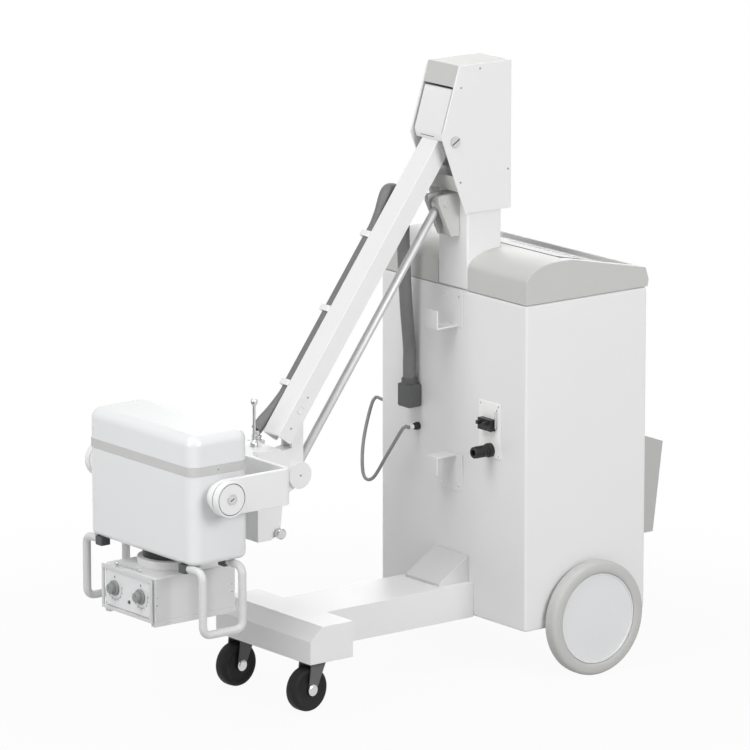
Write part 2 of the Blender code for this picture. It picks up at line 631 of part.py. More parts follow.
def make_carrier():
    top, low = LOW_PIVOT, ROD_LOW
    front = BODY_FRONT
    link = arc((top.y, top.z), 0.014, 0, 180, 8)
    link += [(top.y - 0.016, top.z - 0.045), (top.y - 0.018, BODY_TOP - 0.012),
             (front - 0.010, BODY_TOP - 0.020),
             (front - 0.010, low.z - 0.060), (low.y - 0.010, low.z - 0.028), (low.y + 0.014, low.z - 0.020)]
    carrier = prism("head_carrier", "X", link, -LINK_HALF, LINK_HALF, WHITE)
    rear = YOKE_REAR + 0.037
    body = [(rear, BODY_LOW), (front - 0.039, BODY_LOW), (front - 0.014, BODY_LOW + 0.012),
            (front, low.z), (front, BODY_TOP - 0.015), (front - 0.014, BODY_TOP), (rear, BODY_TOP)]
    add(carrier, prism("carrier_body_guide", "X", body, -BODY_HALF, BODY_HALF, WHITE))
    add(carrier, rod_between("carrier_hub_guide", "X", low, HUB_R, -HUB_HALF, HUB_HALF, WHITE, FINE))
    flange = turned("carrier_flange_guide", "Y", (0.0, 0.0, SWIVEL_Z), [
        (FLANGE_R, rear + 0.004), (FLANGE_R, YOKE_REAR + 0.003), (SPIGOT_R, YOKE_REAR + 0.003),
        (SPIGOT_R, YOKE_REAR - YOKE_BAR)], WHITE, FINE)
    add(carrier, flange)
    ear = box("gland_ear_guide", (GLAND_AT[0] - 0.014, GLAND_AT[1] - 0.015, BODY_TOP - 0.022),
              (GLAND_AT[0] + 0.011, GLAND_AT[1] + 0.014, BODY_TOP + EAR_LIP), WHITE)
    add(carrier, ear)
    slot = ROD_R + PIN_PLAY
    cut(carrier, box("link_slot_guide", (-slot, low.y - ROD_EYE_R - PIN_PLAY, low.z - 0.035),
                     (slot, low.y + 0.05, BODY_TOP), WHITE))
    add(carrier, rod_between("carrier_low_pin_guide", "X", low, ROD_PIN_R,
                             -HUB_HALF + 0.004, HUB_HALF - 0.004, STEEL, 16))
    add(carrier, rod_between("carrier_top_pin_guide", "X", top, LINK_PIN_R, -ARM_HALF, ARM_HALF,
                             STEEL, 16))
    pivot(carrier, top)
    lever = turned("release_lever", "Z", (0.0, LEVER_Y, 0.0), [
        (0.009, BODY_TOP + GAP), (0.009, BODY_TOP + 0.010), (0.0035, BODY_TOP + 0.014),
        (0.0035, BODY_TOP + 0.092), (0.007, BODY_TOP + 0.096), (0.008, BODY_TOP + 0.102),
        (0.006, BODY_TOP + 0.108)], STEEL, 20)
    knob_at = (0.0, front - 0.0196, BODY_LOW + 0.0135)
    knob = turned("swivel_lock_knob", "X", knob_at, [
        (0.005, BODY_HALF + GAP), (0.012, BODY_HALF + GAP + 0.003), (0.012, BODY_HALF + 0.014),
        (0.009, BODY_HALF + 0.017)], STEEL, PLAIN)
    gland = turned("conduit_gland", "Z", (*GLAND_AT, 0.0), [
        (GLAND_R, BODY_TOP + EAR_LIP + GAP), (GLAND_R, BODY_TOP + 0.014), (0.0095, BODY_TOP + 0.015),
        (0.0095, BODY_TOP + 0.024)], STEEL, 20)
    for piece in (lever, knob, gland):
        pivot(piece, top)


def make_yoke():
    rear, bar, out = YOKE_REAR, YOKE_BAR, YOKE_OUT
    low, high = SWIVEL_Z - YOKE_HIGH / 2, SWIVEL_Z + YOKE_HIGH / 2
    outer = [(-out, TILT_Y)] + arc((-out + YOKE_BEND, rear - YOKE_BEND), YOKE_BEND, 180, 90, 5)
    outer += arc((out - YOKE_BEND, rear - YOKE_BEND), YOKE_BEND, 90, 0, 5) + [(out, TILT_Y)]
    tight = YOKE_BEND - bar
    inner = [(out - bar, TILT_Y)] + arc((out - YOKE_BEND, rear - YOKE_BEND), tight, 0, 90, 4)
    inner += arc((-out + YOKE_BEND, rear - YOKE_BEND), tight, 90, 180, 4) + [(-out + bar, TILT_Y)]
    yoke = prism("yoke", "Z", outer + inner, low, high, WHITE)
    for name, sign in (("right", 1), ("left", -1)):
        x0, x1 = sorted((sign * (out - bar), sign * out))
        add(yoke, rod_between("yoke_end_guide_" + name, "X", (0.0, TILT_Y, SWIVEL_Z), YOKE_HIGH / 2, x0, x1,
                              WHITE, FINE))
    cut(yoke, rod_between("yoke_bore_guide", "X", (0.0, TILT_Y, SWIVEL_Z), HUB_SHAFT_R + GAP,
                          -0.3, 0.3, WHITE))
    cut(yoke, rod_between("yoke_swivel_guide", "Y", (0.0, 0.0, SWIVEL_Z), SPIGOT_R + GAP, rear - 0.03,
                          rear + 0.03, WHITE))
    pivot(yoke, (0.0, rear, SWIVEL_Z))


def make_head():
    plan = rounded([(-HEAD_HALF, HEAD_FRONT), (HEAD_HALF, HEAD_FRONT), (HEAD_HALF, HEAD_REAR),
                    (-HEAD_HALF, HEAD_REAR)], HEAD_CORNER, 5)

    def block(name, low, high, finish, soften=0.0, at_top=True):
        work = bmesh.new()
        ring = [work.verts.new((x, y, low)) for x, y in plan]
        face = work.faces.new(ring)
        grown = bmesh.ops.extrude_face_region(work, geom=[face])
        verts = [v for v in grown["geom"] if isinstance(v, bmesh.types.BMVert)]
        bmesh.ops.translate(work, verts=verts, vec=(0.0, 0.0, high - low))
        if soften:
            z = high if at_top else low
            rim = [e for e in work.edges if all(abs(v.co.z - z) < 1e-6 for v in e.verts)]
            bmesh.ops.bevel(work, geom=rim, offset=soften, segments=5, affect="EDGES", profile=0.5)
        piece = finish_mesh(name, work, finish, True)
        pivot(piece, (0.0, TILT_Y, SWIVEL_Z))
        return piece

    block("tube_head", HEAD_LOW, BAND_LOW - GAP, WHITE, 0.012, False)
    block("tube_head_band", BAND_LOW, BAND_HIGH, GREY)
    block("tube_head_lid", BAND_HIGH + GAP, HEAD_TOP, WHITE, 0.024)
    for name, sign in (("right", 1), ("left", -1)):
        side = HEAD_HALF + GAP
        hub = turned("tilt_hub_" + name, "X", (0.0, TILT_Y, SWIVEL_Z), [
            (0.030, sign * side), (0.030, sign * (YOKE_OUT - YOKE_BAR - PIN_PLAY)),
            (HUB_SHAFT_R, sign * (YOKE_OUT - YOKE_BAR - PIN_PLAY)), (HUB_SHAFT_R, sign * (YOKE_OUT + 0.002)),
            (HUB_DISC_R, sign * (YOKE_OUT + 0.002)), (HUB_DISC_R, sign * (HUB_DISC_OUT - 0.003)),
            (HUB_DISC_R - 0.003, sign * HUB_DISC_OUT), (0.019, sign * HUB_DISC_OUT),
            (0.017, sign * (HUB_DISC_OUT - 0.003)), (0.008, sign * (HUB_DISC_OUT - 0.003)),
            (0.006, sign * HUB_DISC_OUT)], WHITE, FINE)
        pivot(hub, (0.0, TILT_Y, SWIVEL_Z))
        level = HEAD_LOW - GAP - HANDLE_R
        x, y0, y1, tuck = sign * HANDLE_X, HANDLE_Y[0], HANDLE_Y[1], sign * HANDLE_TUCK
        path = bent_path([(tuck, y0, level), (x, y0, level), (x, y0, HANDLE_LOW), (x, y1, HANDLE_LOW),
                          (x, y1, level), (tuck, y1, level)], HANDLE_BEND)
        tube("handle_" + name, path, HANDLE_R, PALE, 2)


def make_collimator():
    top = COLL_TOP
    centre_y = (COLL_FRONT + COLL_REAR) / 2
    centre = (0.0, centre_y, 0.0)
    collar = turned("collimator_collar", "Z", centre, [
        (COLLAR_R, top + GAP), (COLLAR_R, top + 0.018), (COLLAR_R - 0.012, top + 0.020),
        (COLLAR_R - 0.012, HEAD_LOW - GAP)], PALE, FINE)
    pivot(collar, (0.0, TILT_Y, SWIVEL_Z))
    box_front = COLL_FRONT + 0.006
    body = box("collimator", (-COLL_HALF, box_front, COLL_LOW + 0.010), (COLL_HALF, COLL_REAR, top),
               PALE, 0.003, 1)
    window = box("beam_window_guide", (-0.055, centre_y - 0.055, COLL_LOW), (0.055, centre_y + 0.055,
                 COLL_LOW + 0.016), PALE)
    cut(body, window)
    for name, sign in (("right", 1), ("left", -1)):
        x0, x1 = sorted((sign * (COLL_HALF - 0.014), sign * COLL_HALF))
        add(body, box("rail_guide_" + name, (x0, box_front, COLL_LOW),
                      (x1, COLL_REAR, COLL_LOW + 0.012), PALE))
    face = box("collimator_panel", (-COLL_HALF + 0.008, COLL_FRONT, COLL_LOW + 0.018),
               (COLL_HALF - 0.008, box_front - GAP, top - 0.008), WHITE, 0.0015, 1)
    knobs = []
    for name, sign in (("right", 1), ("left", -1)):
        knobs.append(turned("collimator_knob_" + name, "Y", (sign * KNOB_AT[0], 0.0, KNOB_AT[1]), [
            (KNOB_R, COLL_FRONT - GAP), (KNOB_R, COLL_FRONT - KNOB_REACH + 0.003),
            (KNOB_R - 0.003, COLL_FRONT - KNOB_REACH)], GREY, PLAIN))
    for piece in (body, face, *knobs):
        pivot(piece, centre)


# Fittings on the cabinet's front

def make_fittings():
    for name, low, up in (("upper", 0.773, 1), ("lower", 0.397, -1)):
        high = low + 0.084
        root, tip = (low, low + 0.003) if up == 1 else (high - 0.003, high)
        shape = [(-GAP, low), (-GAP, high), (-SHEET, high), (-SHEET, low)]
        hook = prism("cable_hook_" + name, "X", shape, -0.039, 0.039, WHITE)
        lip = (tip, low + 0.042) if up == 1 else (low + 0.042, root)
        shelf = box("hook_shelf_guide_" + name, (-0.020, -0.060, root), (0.020, -0.001, tip), WHITE)
        edge = box("hook_lip_guide_" + name, (-0.020, -0.060, min(lip[0], root)),
                   (0.020, -0.057, max(lip[1], tip)), WHITE)
        add(hook, shelf, edge)
    box("supply_plate", (0.0985, -SHEET, 0.497), (0.174, -GAP, 0.622), WHITE)
    front = -SHEET - GAP
    breaker = box("breaker", (0.112, -0.018, 0.560), (0.158, front, 0.586), BLACK)
    for k, x in enumerate((0.124, 0.146)):
        add(breaker, box("breaker_lever_guide_%d" % k, (x - 0.004, -0.030, 0.574),
                         (x + 0.004, -0.015, 0.582), BLACK))
    turned("supply_gland", "Y", (0.140, 0.0, 0.514), [
        (0.016, front), (0.016, -0.014), (0.013, -0.016), (0.013, -0.040), (0.010, -0.052)], BLACK, PLAIN)
    low, high = ELBOW_BOX
    box("conduit_box", low, high, GREY, 0.004, 2)
    turned("sensor_gland", "Y", (-0.123, 0.0, 0.520), [
        (CABLE_GLAND_R, -GAP), (CABLE_GLAND_R, -0.012), (0.006, -0.016)], BLACK, 16)
    turned("side_gland", "X", (0.0, *SIDE_GLAND_AT), [
        (CABLE_GLAND_R, -CAB_HALF + SEAT - GAP), (CABLE_GLAND_R, -CAB_HALF - 0.012),
        (0.006, -CAB_HALF - 0.016)], BLACK, 16)


def make_cords():
    low, high = ELBOW_BOX
    x, y = (low[0] + high[0]) / 2, low[1] + CONDUIT_R + 0.004
    start = high[2] + GAP
    tube("conduit_lower", smooth_path([
        (x, y, start), (x, y, start + 0.036), (x, y, start + 0.072), (-0.130, -0.030, 0.800),
        (-0.122, -0.044, 0.930),
        (-0.118, -0.056, 0.990)], 0.036), CONDUIT_R, HOSE)
    begin, end = 0.165, ARM_LONG + 0.030
    steps = 16
    route = [(CONDUIT_X, *on_arm(begin + (end - begin) * k / steps, CONDUIT_UP)) for k in range(steps + 1)]
    tube("conduit_upper", route, CONDUIT_R, HOSE)
    tube("sensor_cable", smooth_path([
        (-0.123, -0.0163, 0.520), (-0.123, -0.030, 0.520), (-0.123, -0.044, 0.520), (-0.158, -0.062, 0.455),
        (-0.212, -0.062, 0.390), (-0.262, -0.050, 0.390), (-0.300, -0.020, 0.455), (-0.316, 0.020, 0.540),
        (-0.296, 0.030, 0.545), (-0.286, 0.030, 0.545), (-0.2763, 0.030, 0.545)],
        0.016), CABLE_R, PALE, 2)


make_base()
make_cabinet()
make_bin()
make_rear_wheels()
make_casters()
make_column()
make_rod_bracket()
make_arm()
make_rod()
make_carrier()
make_yoke()
make_head()
make_collimator()
make_fittings()
make_cords()
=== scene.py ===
# Finish, fittings and flexible lines of a mobile ward x-ray unit.
# Every place is in metres in the unit's own frame: +Z up, -Y towards the tube head.

import json
from math import cos, pi, radians, sin

import bmesh
import bpy
from mathutils import Matrix, Vector


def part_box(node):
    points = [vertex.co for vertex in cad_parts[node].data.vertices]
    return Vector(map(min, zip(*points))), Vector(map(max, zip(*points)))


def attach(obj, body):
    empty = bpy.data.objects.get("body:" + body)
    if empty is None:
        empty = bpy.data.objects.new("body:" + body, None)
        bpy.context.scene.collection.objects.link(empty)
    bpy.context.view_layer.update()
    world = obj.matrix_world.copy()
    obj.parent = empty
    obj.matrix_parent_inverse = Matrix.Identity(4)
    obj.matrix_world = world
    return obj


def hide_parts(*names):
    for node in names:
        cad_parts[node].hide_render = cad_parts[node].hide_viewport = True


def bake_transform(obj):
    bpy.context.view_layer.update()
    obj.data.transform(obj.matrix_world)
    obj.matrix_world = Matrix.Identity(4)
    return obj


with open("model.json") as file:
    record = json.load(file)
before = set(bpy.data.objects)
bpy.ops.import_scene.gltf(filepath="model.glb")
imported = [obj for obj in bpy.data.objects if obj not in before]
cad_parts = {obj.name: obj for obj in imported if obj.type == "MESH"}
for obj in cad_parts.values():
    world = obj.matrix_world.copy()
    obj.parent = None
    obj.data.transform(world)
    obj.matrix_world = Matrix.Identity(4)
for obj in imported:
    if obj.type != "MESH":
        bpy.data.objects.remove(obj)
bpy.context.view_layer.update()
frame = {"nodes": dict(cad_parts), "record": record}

# Sizes shared with the solids
SHIFT_Y = 0.231
ARM_DIP = radians(53.8)
ARM_LONG = 0.688
ARM_DEEP = 0.042
TOP_PIVOT = Vector((0.0, -0.04 + SHIFT_Y, 1.201))
ARM_DIR = Vector((0.0, -cos(ARM_DIP), -sin(ARM_DIP)))
ARM_UP = Vector((0.0, -sin(ARM_DIP), cos(ARM_DIP)))
LOW_PIVOT = TOP_PIVOT + ARM_DIR * ARM_LONG
CONDUIT_R = 0.0145
CONDUIT_X = -0.045
CONDUIT_UP = 0.004
ROD_DROP = 0.146        # the levelling rod's pins below the arm's
SIDES = (("right", 1), ("left", -1))
FRONT, BACK, RIGHT, UP = (0.0, -1.0, 0.0), (0.0, 1.0, 0.0), (1.0, 0.0, 0.0), (0.0, 0.0, 1.0)
SHARP = 35              # degrees from which an edge stays sharp


# Helpers

def link(name, data):
    piece = bpy.data.objects.new(name, data)
    bpy.context.scene.collection.objects.link(piece)
    return piece


def mesh_from(name, work, finish, sharp=SHARP):
    bmesh.ops.recalc_face_normals(work, faces=work.faces)
    mesh = bpy.data.meshes.new(name)
    work.to_mesh(mesh)
    work.free()
    mesh.shade_smooth()
    mesh.set_sharp_from_angle(angle=radians(sharp))
    mesh.materials.append(finish)
    return link(name, mesh)


def placed(piece, body):
    """Gives a piece its body."""
    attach(piece, body)
    return piece


def flat_faces(piece):
    """Keeps broad faces flat beside their rounded edges."""
    flat = piece.modifiers.new("flat_faces", "WEIGHTED_NORMAL")
    flat.keep_sharp = True
    flat.weight = 100


def refined(node, finish, edge):
    """The solid's own shape with joined faces, fine rounded edges and smooth rounds."""
    work = bmesh.new()
    work.from_mesh(frame["nodes"][node].data)
    bmesh.ops.remove_doubles(work, verts=work.verts, dist=2e-6)
    bmesh.ops.dissolve_limit(work, angle_limit=radians(0.6), verts=work.verts, edges=work.edges)
    mesh = bpy.data.meshes.new(node + "_finished")
    work.to_mesh(mesh)
    work.free()
    if "custom_normal" in mesh.attributes:
        mesh.attributes.remove(mesh.attributes["custom_normal"])
    mesh.shade_smooth()
    mesh.set_sharp_from_angle(angle=radians(SHARP))
    mesh.materials.append(finish)
    piece = link(node + "_finished", mesh)
    if edge:
        soften = piece.modifiers.new("fine_edges", "BEVEL")
        soften.width = edge
        soften.segments = 2
        soften.limit_method = "ANGLE"
        soften.angle_limit = radians(SHARP)
        soften.use_clamp_overlap = True
    flat_faces(piece)
    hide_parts(node)
    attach(piece, body_of_node[node])
    return piece


body_of_node = {}
for body_name, names in frame["record"]["behaviour"]["bodies"].items():
    for node_name in names:
        body_of_node[node_name] = body_name


def ring_points(axis_x, axis_y, centre, radius, sides):
    return [centre + axis_x * (radius * cos(2 * pi * k / sides)) + axis_y * (radius * sin(2 * pi * k / sides))
            for k in range(sides)]


def joined(work, rings, around=False):
    """Faces from each ring of points to the next; around joins last to first, else both ends close."""
    sides = len(rings[0])
    following = rings[1:] + rings[:1] if around else rings[1:]
    for first, second in zip(rings, following):
        for k in range(sides):
            n = (k + 1) % sides
            work.faces.new((first[k], first[n], second[n], second[k]))
    if not around:
        work.faces.new(rings[0])
        work.faces.new(rings[-1])


def turned(name, centre, facing, profile, finish, sides=48, sharp=SHARP, hollow=False):
    """A profile of (radius, place along facing), turned about facing; hollow joins its ends to a ring."""
    facing = Vector(facing).normalized()
    side = facing.orthogonal().normalized()
    other = facing.cross(side)
    work = bmesh.new()
    rings = []
    for radius, along in profile:
        points = ring_points(side, other, Vector(centre) + facing * along, radius, sides)
        rings.append([work.verts.new(p) for p in points])
    joined(work, rings, hollow)
    return mesh_from(name, work, finish, sharp)


def slab(name, corners, facing, thick, finish, edge=0.0006):
    """A thin plate: corners in order, raised by thick along facing, with softened edges."""
    work = bmesh.new()
    base = [work.verts.new(c) for c in corners]
    face = work.faces.new(base)
    grown = bmesh.ops.extrude_face_region(work, geom=[face])
    moved = [v for v in grown["geom"] if isinstance(v, bmesh.types.BMVert)]
    bmesh.ops.translate(work, verts=moved, vec=Vector(facing).normalized() * thick)
    if edge:
        bmesh.ops.bevel(work, geom=work.edges[:], offset=edge, segments=2, affect="EDGES", profile=0.5)
    return mesh_from(name, work, finish)


def join_as(name, pieces):
    """Several finished meshes as one, each keeping its own materials."""
    target = bmesh.new()
    finishes = []
    for piece in pieces:
        table = []
        for finish in piece.data.materials:
            if finish not in finishes:
                finishes.append(finish)
            table.append(finishes.index(finish))
        start = len(target.faces)
        target.from_mesh(piece.data)
        target.faces.ensure_lookup_table()
        for face in target.faces[start:]:
            face.material_index = table[face.material_index]
    mesh = bpy.data.meshes.new(name)
    target.to_mesh(mesh)
    target.free()
    for finish in finishes:
        mesh.materials.append(finish)
    for piece in pieces:
        bpy.data.objects.remove(piece, do_unlink=True)
    return link(name, mesh)


def on_arm(along, up, x=0.0):
    return TOP_PIVOT + ARM_DIR * along + ARM_UP * up + Vector((x, 0.0, 0.0))


def smooth_path(route, spacing):
    """Points about one spacing apart on a smooth curve through the route's own points."""
    route = [Vector(p) for p in route]
    ends = [route[0] * 2 - route[1]] + route + [route[-1] * 2 - route[-2]]
    out = [route[0]]
    for k in range(1, len(ends) - 2):
        p0, p1, p2, p3 = ends[k - 1:k + 3]
        steps = max(2, round((p2 - p1).length / spacing))
        for s in range(1, steps + 1):
            u = s / steps
            out.append(0.5 * (2 * p1 + (p2 - p0) * u + (2 * p0 - 5 * p1 + 4 * p2 - p3) * u ** 2
                              + (3 * p1 - p0 - 3 * p2 + p3) * u ** 3))
    return out


def shifted(points):
    """Points measured from the cabinet's front face, moved into the unit's frame."""
    return [Vector((x, y + SHIFT_Y, z)) for x, y, z in points]


def line_through(name, route):
    """A curve of straight steps through the route's points."""
    curve = bpy.data.curves.new(name, "CURVE")
    curve.dimensions = "3D"
    spline = curve.splines.new("POLY")
    spline.points.add(len(route) - 1)
    for spot, point in zip(spline.points, route):
        spot.co = (*point, 1.0)
    return curve


# Node trees

def group(name, kind, inputs, outputs):
    """A node group with its sockets and the two nodes that stand for them, start and end."""
    tree = bpy.data.node_groups.new(name, kind)
    for label, socket_kind, default in inputs:
        socket = tree.interface.new_socket(label, in_out="INPUT", socket_type="NodeSocket" + socket_kind)
        if default is not None:
            socket.default_value = default
    for label, socket_kind in outputs:
        tree.interface.new_socket(label, in_out="OUTPUT", socket_type="NodeSocket" + socket_kind)
    tree.nodes.new("NodeGroupInput").name = "start"
    tree.nodes.new("NodeGroupOutput").name = "end"
    return tree


def socket_of(sockets, label):
    """A socket by its name, or by its number where the label is one."""
    return sockets[int(label) if label.isdigit() else label]


def wire(tree, parts, lines):
    """Adds nodes, by name with type, settings and input values, and links as "node.output > node.input"."""
    for name, part in parts.items():
        kind, settings, values = (part, {}, {}) if isinstance(part, str) else part
        node = tree.nodes.new(kind)
        node.name = name
        for key, value in settings.items():
            setattr(node, key, value)
        for key, value in values.items():
            node.inputs[key].default_value = value
    for line in lines:
        source, target = (end.split(".") for end in line.split(" > "))
        tree.links.new(socket_of(tree.nodes[source[0]].outputs, source[1]),
                       socket_of(tree.nodes[target[0]].inputs, target[1]))


def maths(operation, values={}):
    return ("ShaderNodeMath", {"operation": operation}, values)


def material(name, values):
    """A material whose main shader has these input values."""
    made = bpy.data.materials.new(name)
    made.use_nodes = True
    for key, value in values.items():
        made.node_tree.nodes["Principled BSDF"].inputs[key].default_value = value
    return made


def make_grain_group():
    """Fine moulded or sprayed grain: two noises of different size, as a height."""
    tree = group("fine_grain", "ShaderNodeTree", [
        ("Scale", "Float", 900.0), ("Coarse Share", "Float", 0.3)],
        [("Height", "Float")])
    wire(tree, {
        "place": "ShaderNodeTexCoord",
        "fine": ("ShaderNodeTexNoise", {}, {"Detail": 2.0}),
        "coarse": "ShaderNodeTexNoise",
        "smaller": maths("MULTIPLY", {1: 0.22}),
        "blend": "ShaderNodeMix",
    }, ["place.Object > fine.Vector", "place.Object > coarse.Vector", "start.Scale > fine.Scale",
        "start.Scale > smaller.0", "smaller.0 > coarse.Scale", "start.Coarse Share > blend.Factor",
        "fine.Fac > blend.A", "coarse.Fac > blend.B", "blend.Result > end.Height"])
    return tree


def make_handling_group():
    """Slow drift of tone and gloss that handling and cleaning leave, with dust low down."""
    tree = group("handling", "ShaderNodeTree", [
        ("Base", "Color", (0.8, 0.8, 0.8, 1.0)), ("Soil", "Color", (0.6, 0.58, 0.55, 1.0)),
        ("Soil Amount", "Float", 0.05), ("Gloss Low", "Float", 0.35),
        ("Gloss High", "Float", 0.48)],
        [("Color", "Color"), ("Roughness", "Float")])
    wire(tree, {
        "place": "ShaderNodeTexCoord",
        "patch": ("ShaderNodeTexNoise", {}, {"Scale": 6.0, "Detail": 5.0}),
        "split": "ShaderNodeSeparateXYZ",
        "low": ("ShaderNodeMapRange", {}, {"From Min": 0.28, "From Max": 0.02}),
        "total": maths("ADD"),
        "amount": maths("MULTIPLY"),
        "colour": ("ShaderNodeMix", {"data_type": "RGBA"}, {}),
        "gloss": "ShaderNodeMapRange",
    }, ["place.Object > patch.Vector", "place.Object > split.Vector", "split.Z > low.Value",
        "patch.Fac > total.0", "low.Result > total.1", "total.0 > amount.0", "start.Soil Amount > amount.1",
        "amount.0 > colour.Factor", "start.Base > colour.A", "start.Soil > colour.B",
        "patch.Fac > gloss.Value",
        "start.Gloss Low > gloss.To Min", "start.Gloss High > gloss.To Max", "colour.Result > end.Color",
        "gloss.Result > end.Roughness"])
    return tree


GRAIN = make_grain_group()
HANDLING = make_handling_group()


def coated(name, base, soil_amount, gloss, grain_scale, grain_height, coarse=0.3, metallic=0.0, coat=0.0,
           soil=(0.55, 0.53, 0.5), sheen=0.5):
    """A paint, plastic, rubber or metal finish with handling marks and its own grain."""
    made = material(name, {"Metallic": metallic, "Coat Weight": coat, "Coat Roughness": 0.15,
                           "Specular IOR Level": sheen})
    wire(made.node_tree, {
        "marks": ("ShaderNodeGroup", {"node_tree": HANDLING}, {
            "Base": (*base, 1.0), "Soil": (*soil, 1.0), "Soil Amount": soil_amount,
            "Gloss Low": gloss[0], "Gloss High": gloss[1]}),
        "grain": ("ShaderNodeGroup", {"node_tree": GRAIN}, {"Scale": grain_scale, "Coarse Share": coarse}),
        "bump": ("ShaderNodeBump", {}, {"Strength": 1.0, "Distance": grain_height}),
    }, ["marks.Color > Principled BSDF.Base Color", "marks.Roughness > Principled BSDF.Roughness",
        "grain.Height > bump.Height", "bump.Normal > Principled BSDF.Normal"])
    return made


# Finishes
POWDER = coated("white_powder_coat", (0.83, 0.83, 0.835), 0.035, (0.34, 0.46), 700, 0.00012, 0.35)
GLOSS_WHITE = coated("white_gloss_enamel", (0.765, 0.772, 0.78), 0.025, (0.2, 0.3), 300, 0.00006, 0.5,
                     coat=0.3)
PLATE_WHITE = coated("white_plate_enamel", (0.93, 0.93, 0.92), 0.02, (0.28, 0.4), 500, 0.00008)
PALE = coated("pale_grey_paint", (0.66, 0.665, 0.66), 0.05, (0.36, 0.48), 700, 0.00012)
SHELL = coated("grey_moulded_shell", (0.56, 0.56, 0.55), 0.05, (0.44, 0.58), 1500, 0.00018, 0.2)
SHEET_GREY = coated("grey_bin_paint", (0.5, 0.505, 0.49), 0.06, (0.4, 0.52), 700, 0.00014)
DARK_GREY = coated("dark_grey_plastic", (0.075, 0.075, 0.08), 0.08, (0.4, 0.52), 1500, 0.00015, sheen=0.35)
BOX_GREY = coated("dark_grey_box", (0.095, 0.098, 0.098), 0.06, (0.46, 0.6), 1300, 0.00016, 0.2, sheen=0.35)
# Black plastic, and also the painted shade in slots, gaps, grooves, screw recesses and under the tube head.
BLACK = coated("black_plastic", (0.014, 0.014, 0.015), 0.04, (0.32, 0.46), 1500, 0.00015,
               soil=(0.16, 0.16, 0.16), sheen=0.35)
ROLLER = coated("black_rubber", (0.008, 0.008, 0.008), 0.05, (0.5, 0.66), 1200, 0.0002,
                soil=(0.12, 0.115, 0.11), sheen=0.2)
TYRE = coated("grey_rubber", (0.54, 0.54, 0.53), 0.1, (0.58, 0.72), 1200, 0.00025)
STEEL = coated("plated_steel", (0.62, 0.62, 0.63), 0.02, (0.12, 0.24), 400, 0.00003, metallic=1.0)
ROD = coated("pale_rod_plating", (0.62, 0.62, 0.63), 0.02, (0.38, 0.5), 900, 0.00006, metallic=0.35)
HOSE = coated("grey_conduit", (0.15, 0.153, 0.15), 0.08, (0.48, 0.62), 1100, 0.00018)
LEAD = coated("grey_lead_jacket", (0.24, 0.24, 0.245), 0.05, (0.4, 0.52), 1500, 0.0001)
# Dark print, and also the painted shade in the shroud's slot.
PRINT_AND_SHADE = coated("dark_print_and_painted_shade", (0.08, 0.08, 0.09), 0.0, (0.45, 0.55), 1500, 0.00002)
KNOB_GREY = coated("dark_grey_knob", (0.26, 0.265, 0.265), 0.04, (0.4, 0.5), 1500, 0.00012)
KEY_BLUE = coated("grey_blue_key", (0.28, 0.34, 0.4), 0.02, (0.38, 0.48), 1500, 0.0001)


def make_display_glass():
    made = material("display_glass", {"Coat Weight": 1.0, "Coat Roughness": 0.04})
    wire(made.node_tree, {
        "place": "ShaderNodeTexCoord",
        "drift": ("ShaderNodeTexNoise", {}, {"Scale": 9.0}),
        "ramp": ("ShaderNodeMapRange", {}, {"To Min": 0.1, "To Max": 0.22}),
        "tint": ("ShaderNodeMix", {"data_type": "RGBA"}, {
            "A": (0.012, 0.014, 0.016, 1.0), "B": (0.03, 0.034, 0.038, 1.0)}),
    }, ["place.Object > drift.Vector", "drift.Fac > ramp.Value", "ramp.Result > Principled BSDF.Roughness",
        "drift.Fac > tint.Factor", "tint.Result > Principled BSDF.Base Color"])
    return made


GLASS = make_display_glass()


# Geometry Nodes

def geometry_tree(name, inputs):
    return group(name, "GeometryNodeTree", [("Geometry", "Geometry", None)] + inputs,
                 [("Geometry", "Geometry")])


def stored(label):
    """A node that reads a direction stored on the points."""
    return ("GeometryNodeInputNamedAttribute", {"data_type": "FLOAT_VECTOR"}, {"Name": label})


def make_screw_tree():
    """Pan head screws with a recess, one on each point, along the point's stored direction; a black hexagon
    on each head is painted shade for the recess.
    """
    tree = geometry_tree("screw_heads", [
        ("Head Radius", "Float", 0.003), ("Head Height", "Float", 0.0012),
        ("Head Finish", "Material", None), ("Recess Finish", "Material", None)])
    wire(tree, {
        "head": ("GeometryNodeMeshCylinder", {}, {"Vertices": 16}),
        "paint": "GeometryNodeSetMaterial",
        # A black hexagon just proud of the head: painted shade standing for the screw's recess.
        "recess": ("GeometryNodeMeshCylinder", {}, {"Vertices": 6}),
        "share": maths("MULTIPLY", {1: 0.45}),
        "lift": ("GeometryNodeTransform", {}, {"Translation": (0.0, 0.0, 0.00012)}),
        "dark": "GeometryNodeSetMaterial",
        "both": "GeometryNodeJoinGeometry",
        "facing": stored("facing"),
        "turn": ("FunctionNodeAlignRotationToVector", {"axis": "Z"}, {}),
        "place": "GeometryNodeInstanceOnPoints",
        "real": "GeometryNodeRealizeInstances",
    }, ["start.Head Radius > head.Radius", "start.Head Height > head.Depth", "head.Mesh > paint.Geometry",
        "start.Head Finish > paint.Material", "start.Head Radius > share.0", "share.0 > recess.Radius",
        "start.Head Height > recess.Depth", "recess.Mesh > lift.Geometry", "lift.Geometry > dark.Geometry",
        "start.Recess Finish > dark.Material", "paint.Geometry > both.Geometry",
        "dark.Geometry > both.Geometry", "facing.Attribute > turn.Vector", "start.Geometry > place.Points",
        "both.Geometry > place.Instance", "turn.Rotation > place.Rotation", "place.Instances > real.Geometry",
        "real.Geometry > end.Geometry"])
    return tree


